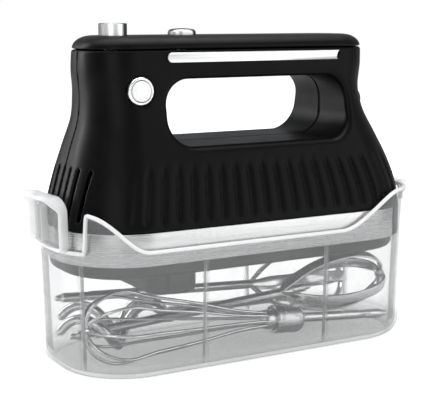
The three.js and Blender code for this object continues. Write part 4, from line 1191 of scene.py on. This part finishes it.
def wallPoint(end, y, offset, z):
    # a place on the nose (-1) or rear (+1) end of the case, at distance y from the middle
    y, offset, z = np.broadcast_arrays(np.asarray(y, float), np.asarray(offset, float), np.asarray(z, float))
    flat = case["halfWidth"] - case["corner"]
    past = np.clip(np.abs(y) - flat, 0, None)
    angle = np.arcsin(np.clip(past / (case["corner"] + case["wall"]), 0, 1))
    reach = wallReach(offset, z)
    x = case["halfLength"] - case["corner"] + reach * np.cos(angle)
    across = np.sign(y) * (np.minimum(np.abs(y), flat) + reach * np.sin(angle))
    return np.stack([end * x, across, z], -1)


def wallRibbon(name, end, path, inwardWay, thickness, startOffset, reach, closed, light):
    # a fin that follows a path drawn on the end wall and stands out from it by reach
    path, inwardWay = np.array(path, float), np.array(inwardWay, float)
    rows = []
    for (y, z), (ny, nz), out in zip(path, inwardWay, np.broadcast_to(reach, (len(path),))):
        section = roundedSection((0.0, startOffset), (thickness, out), min(0.45 * thickness, 0.8), 4)
        rows.append(wallPoint(end, y + ny * section[:, 0], section[:, 1], z + nz * section[:, 0]))
    made = netObject(name, np.array(rows), clearCase, closedRows=closed)
    # the whole fin gets one painted highlight value
    lightWhole(made, light)
    return made


def archPath(half, bottom, top, corner, steps=12):
    # up one side, round over the top and down the other; with the way in at each point
    flat = half - corner
    left = [((-half, z), math.pi) for z in np.linspace(bottom, top - corner, 10)[:-1]]
    across = [((y, top), math.pi / 2) for y in np.linspace(-flat, flat, 16)[1:-1]]
    right = [((half, z), 0.0) for z in np.linspace(top - corner, bottom, 10)[1:]]

    def turn(centre, first):
        angles = [first - i / steps * math.pi / 2 for i in range(steps + 1)]
        return [((centre + corner * math.cos(a), top - corner + corner * math.sin(a)), a) for a in angles]

    path = left + turn(-flat, math.pi) + across + turn(flat, math.pi / 2) + right
    ways = [(-math.cos(angle), -math.sin(angle)) for _, angle in path]
    return np.array([point for point, _ in path]), np.array(ways)


def loopPath(half, bottom, top, steps=12):
    # a closed capsule
    points, ways = [], []
    for centre, first in ((top - half, 0.0), (bottom + half, math.pi)):
        for i in range(steps + 1):
            angle = first + math.pi * i / steps
            points.append((half * math.cos(angle), centre + half * math.sin(angle)))
            ways.append((-math.cos(angle), -math.sin(angle)))
        sign = 1 if first else -1
        for z in np.linspace(centre, top - half if first else bottom + half, 8)[1:-1]:
            points.append((sign * half, z))
            ways.append((-sign, 0))
    return np.array(points), np.array(ways)


def latchTongue():
    half, top, corner = case["tongueHalf"], case["tongueTopZ"], case["tongueCorner"]
    bottom = case["notchBottomZ"] + 0.3
    rows = []
    for y in np.linspace(-half + 0.5, half - 0.5, 41):
        over = max(0.0, abs(y) - (half - corner))
        highest = top - corner + math.sqrt(corner**2 - over**2) - 0.6
        section = roundedSection((0.0, bottom), (case["wall"], highest), 0.5, 3)
        levels = np.linspace(highest - 0.6, bottom + 0.6, 14)
        left = [(0.0, z) for z in levels]
        right = [(case["wall"], z) for z in levels[::-1]]
        quarter = len(section) // 4
        loop = np.concatenate([section[quarter:2 * quarter], left, section[2 * quarter:], right,
            section[:quarter]])
        rows.append(wallPoint(-1, y, loop[:, 0], loop[:, 1]))
    # the blade, flange and loop get painted highlights through their edge light values
    blade = netObject("tongueBlade", np.array(rows), clearCase)
    lightWhole(blade, 0.12)
    path, ways = archPath(half, bottom, top, corner)
    reach = case["tongueSide"] + (case["lipReach"] - case["tongueSide"]) * smoothStep(top - corner,
        top - 1.0, path[:, 1])
    flange = wallRibbon("tongueFlange", -1, path, ways, 2.1, 0.0, case["wall"] + reach, False, 0.8)
    path, ways = loopPath(3.4, bottom + 2, top - 4)
    loop = wallRibbon("tongueLoop", -1, path, ways, 1.1, case["wall"] - 0.5, case["wall"] + 3.2, True, 0.55)
    return joinLit("latch_tab", [blade, flange, loop])


def joinLit(name, parts):
    # joins parts and keeps their painted edge light
    values = []
    for part in parts:
        data = np.zeros(len(part.data.vertices), np.float32)
        part.data.attributes["paintedEdgeLight"].data.foreach_get("value", data)
        values.append(data)
    made = joinObjects(name, parts)
    existing = made.data.attributes.get("paintedEdgeLight")
    if existing:
        made.data.attributes.remove(existing)
    setEdgeLight(made, np.concatenate(values))
    return made


def rearLip():
    top, half = case["shoulderZ"], case["rearHalf"]
    path, ways = archPath(half, top - 9, top, 6.0)
    reach = 1.2 + (case["lipReach"] - 1.2) * smoothStep(top - 6.0, top - 0.8, path[:, 1])
    # the flange and loop get painted highlights through their edge light values
    lip = wallRibbon("rearFlange", 1, path, ways, case["lipThickness"], 0.6, case["wall"] + reach, False, 0.8)
    path, ways = loopPath(3.4, case["notchBottomZ"], top - 2)
    loop = wallRibbon("rearLoop", 1, path, ways, 1.1, case["wall"] - 0.5, case["wall"] + 2.8, True, 0.55)
    return joinLit("rear_lip", [lip, loop])


tub, bead = caseTub()
place(tub, "case", "clear_plastic", "storage_case")
place(bead, "case", "clear_plastic")
place(rearLip(), "case", "clear_plastic")
tab = latchTongue()
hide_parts("latch_tongue")
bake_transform(tab)
print("case ready")

# ---- attachments ----

tools = {
    "beater_1": ((88, 17.5, 20.7), (-92, 19, 30.2)),
    "beater_2": ((88, -20.2, 31.2), (-82, 5.5, 13.2)),
    "dough_hook_1": ((-84.5, 22.4, 15.1), (73.5, 29.8, 9.7)),
    "dough_hook_2": ((-91.8, 6, 11.7), (60.1, 9.5, 20.5)),
    "whisk": ((-91.9, -18.6, 22.7), (88.9, -23, 8.3)),
    "stem": 2.5,
    "beaterLength": 180.0, "beaterCage": 60.0, "beaterRadius": 16.5,
    "hookLength": 152.0, "hookCoil": 56.0, "hookRadius": 8.6,
    "whiskLength": 182.0, "whiskRadius": 18.2, "whiskBalloon": 108.0, "wire": 0.8,
    "collarRadius": 7.5, "collarLength": 17.0,
}


def lay(piece, line):
    # parts are made along +X from the tool end, then laid between two points
    start, end = Vector(line[0]), Vector(line[1])
    turn = Vector((1, 0, 0)).rotation_difference(end - start).to_matrix().to_4x4()
    piece.data.transform(Matrix.Translation(start * mm) @ turn)
    return piece


def stem(fromX, length):
    r = tools["stem"]
    points = [(0, fromX), (r, fromX), (r, length - 19.2), (r - 0.25, length - 18.6),
        (r - 0.25, length - 13.2),
              (r, length - 12.6), (r, length - 4.2), (1.6, length - 3.2), (1.6, length - 0.5), (0, length)]
    rod = lathe("rod", softProfile(points, 0.35), (0, 0, 0), (1, 0, 0), toolSteel, 40)
    section = roundedSection((-4, -0.8), (4, 0.8), 0.5, 3)
    rows = []
    for x, shrink in ((0, 0.45), (0.25, 0.12), (0.6, 0), (2.4, 0), (2.75, 0.12), (3, 0.45)):
        flat = section * (1 - shrink * np.array([0.1, 0.35]))
        rows.append(np.stack([np.full(len(flat), length - 17 + x), flat[:, 0], flat[:, 1]], -1))
    return [rod, netObject("lug", np.array(rows), toolSteel)]


def beater(name):
    cage, radius = tools["beaterCage"], tools["beaterRadius"]
    stations = [(0.4, 0), (0.9, 0.14), (2.2, 0.42), (5, 0.62), (10, 0.82), (17, 0.95), (24, 1), (31, 0.985),
        (38, 0.92),
                (46, 0.76), (54, 0.48), (59, 0.24), (62.5, 0.08)]
    along = np.array([s[0] for s in stations], float)
    out = np.array([s[1] for s in stations], float) * radius
    t = np.concatenate([[0], np.cumsum(np.hypot(np.diff(along), np.diff(out)))])
    fine = np.linspace(0, t[-1], 70)
    x, r = smoothCurve(t, along, fine), smoothCurve(t, out, fine)
    dx, dr = np.gradient(x), np.gradient(r)
    size = np.hypot(dx, dr)
    section = roundedSection((-0.65, -3.0), (0.65, 3.0), 0.5, 3)
    parts = []
    for i in range(4):
        turn = i * math.pi / 2
        c, s = math.cos(turn), math.sin(turn)
        rows = []
        for k in range(len(fine)):
            narrow = 0.55 + 0.45 * min(1, min(k, len(fine) - 1 - k) / 9)
            px = x[k] + section[:, 0] * dr[k] / size[k]
            pr = r[k] - section[:, 0] * dx[k] / size[k]
            pw = section[:, 1] * narrow
            rows.append(np.stack([px, pr * c - pw * s, pr * s + pw * c], -1))
        parts.append(netObject("blade", np.array(rows), toolSteel))
    hub = lathe("hub", softProfile([(0, -0.6), (2.0, -0.6), (2.6, 0.6), (2.6, 3.4), (0, 4.2)], 0.5),
        (0, 0, 0),
                (1, 0, 0), toolSteel, 32)
    return joinObjects(name, parts + [hub] + stem(cage - 4, tools["beaterLength"]))


def doughHook(name):
    length = tools["hookCoil"] + 8
    t = np.linspace(0, 1, 110)
    x = t * length
    reach = tools["hookRadius"] * smoothStep(0, 16, length - x)
    angle = 2 * math.pi * 1.6 * t
    points = np.stack([x, reach * np.cos(angle), reach * np.sin(angle)], -1)
    radius = tools["stem"] * np.sqrt(np.clip(1 - (1 - np.clip(np.arange(110) / 3.0, 0, 1)) ** 2, 0.02, 1))
    coil = tube("coil", points, radius, toolSteel, 20)
    return joinObjects(name, [coil] + stem(tools["hookCoil"] + 6, tools["hookLength"]))


def catmullRom(points, steps):
    points = np.array(points, float)
    padded = np.concatenate([[2 * points[0] - points[1]], points, [2 * points[-1] - points[-2]]])
    gaps = np.maximum(np.linalg.norm(np.diff(padded, axis=0), axis=1) ** 0.5, 1e-4)
    result = []
    for i in range(1, len(padded) - 2):
        p0, p1, p2, p3 = padded[i - 1:i + 3]
        g0, g1, g2 = gaps[i - 1:i + 2]
        m1 = ((p1 - p0) / g0 - (p2 - p0) / (g0 + g1) + (p2 - p1) / g1) * g1
        m2 = ((p2 - p1) / g1 - (p3 - p1) / (g1 + g2) + (p3 - p2) / g2) * g1
        for u in np.arange(steps) / steps:
            result.append((2 * u**3 - 3 * u**2 + 1) * p1 + (u**3 - 2 * u**2 + u) * m1
                          + (3 * u**2 - 2 * u**3) * p2
                          + (u**3 - u**2) * m2)
    return np.array(result + [points[-1]])


def whiskWires(name):
    balloon, radius = tools["whiskBalloon"], tools["whiskRadius"]
    plug = balloon - 3
    profile = [(plug, 3.4), (balloon - 22, 5.5), (0.57 * balloon, 10.5), (0.33 * balloon, 0.82 * radius),
               (0.17 * balloon, radius), (6, 13), (1.2, 5)]
    parts = [lathe("plug",
        softProfile([(0, plug - 3), (5.2, plug - 3), (5.2, plug + 3), (0, plug + 3)], 0.5), (0, 0, 0),
                   (1, 0, 0), toolSteel, 40)]
    for i in range(4):
        turn = math.pi * i / 4
        nose = tools["wire"] + 0.35 * i
        flat = profile + [(nose, 0)] + [(x, -r) for x, r in reversed(profile)]
        points = [(x, r * math.cos(turn), r * math.sin(turn)) for x, r in flat]
        parts.append(tube("wire", catmullRom(points, 9), tools["wire"], toolSteel, 12))
    return joinObjects(name, parts)


def whiskCollar(name):
    x0 = tools["whiskBalloon"] - 1
    x1 = x0 + tools["collarLength"]
    r, pocket = tools["collarRadius"], tools["collarRadius"] - 2
    points = [(pocket, x0), (r - 0.2, x0), (r, x0 + 0.8), (r, x0 + 2.4), (r - 0.35, x0 + 2.8),
        (r - 0.35, x0 + 3.4),
              (r, x0 + 3.8), (r, x1 - 2.2), (r - 1.5, x1), (2.8, x1), (2.8, x0 + 5), (pocket, x0 + 5),
              (pocket, x0)]
    return turnedRing(name, softProfile(points, 0.4), (0, 0, 0), (1, 0, 0), polishedSteel)


for number in (1, 2):
    beaterPiece = lay(beater(f"beater_tool_{number}"), tools[f"beater_{number}"])
    place(beaterPiece, "case", "polished_steel", f"beater_{number}")
    hookPiece = lay(doughHook(f"hook_tool_{number}"), tools[f"dough_hook_{number}"])
    place(hookPiece, "case", "polished_steel", f"dough_hook_{number}")
place(lay(whiskWires("whisk_balloon_wires"), tools["whisk"]), "case", "polished_steel", "whisk_wires")
place(lay(whiskCollar("whisk_ferrule"), tools["whisk"]), "case", "polished_steel", "whisk_collar")
whiskRod = joinObjects("whisk_rod", stem(tools["whiskBalloon"] + 5, tools["whiskLength"]))
place(lay(whiskRod, tools["whisk"]), "case", "polished_steel", "whisk_stem")
print("attachments ready")

# ---- finishes of the inner parts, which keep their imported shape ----

innerFinishes = {
    "gear_housing": naturalNylon, "ejector": naturalNylon, "ejector_guide": naturalNylon,
    "slider_carriage": naturalNylon, "rear_motor_bracket": naturalNylon, "cooling_fan": naturalNylon,
    "left_worm_wheel": whiteButton, "right_worm_wheel": whiteButton, "speed_switch": darkBase,
    "boost_switch": darkBase,
    "motor_shaft": polishedSteel, "left_spindle": polishedSteel, "right_spindle": polishedSteel,
    "armature_core": coreIron, "stator_core": coreIron, "commutator": copperWire,
    "front_armature_winding": copperWire, "rear_armature_winding": copperWire, "upper_field_coil": copperWire,
    "lower_field_coil": copperWire, "left_carbon_brush": carbonBlock, "right_carbon_brush": carbonBlock,
    "left_brush_holder": bushBronze, "right_brush_holder": bushBronze, "control_board": greenBoard,
    "front_shaft_bush": bushBronze, "middle_shaft_bush": bushBronze, "rear_shaft_bush": bushBronze,
    "left_upper_bush": bushBronze, "left_lower_bush": bushBronze, "right_upper_bush": bushBronze,
    "right_lower_bush": bushBronze,
}
innerFinishes.update({f"base_screw_{i}": polishedSteel for i in range(1, 5)})
for node, material in innerFinishes.items():
    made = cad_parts[node]
    if not made.material_slots:
        made.data.materials.append(material)
    for materialSlot in made.material_slots:
        materialSlot.material = material
print("inner finishes ready")
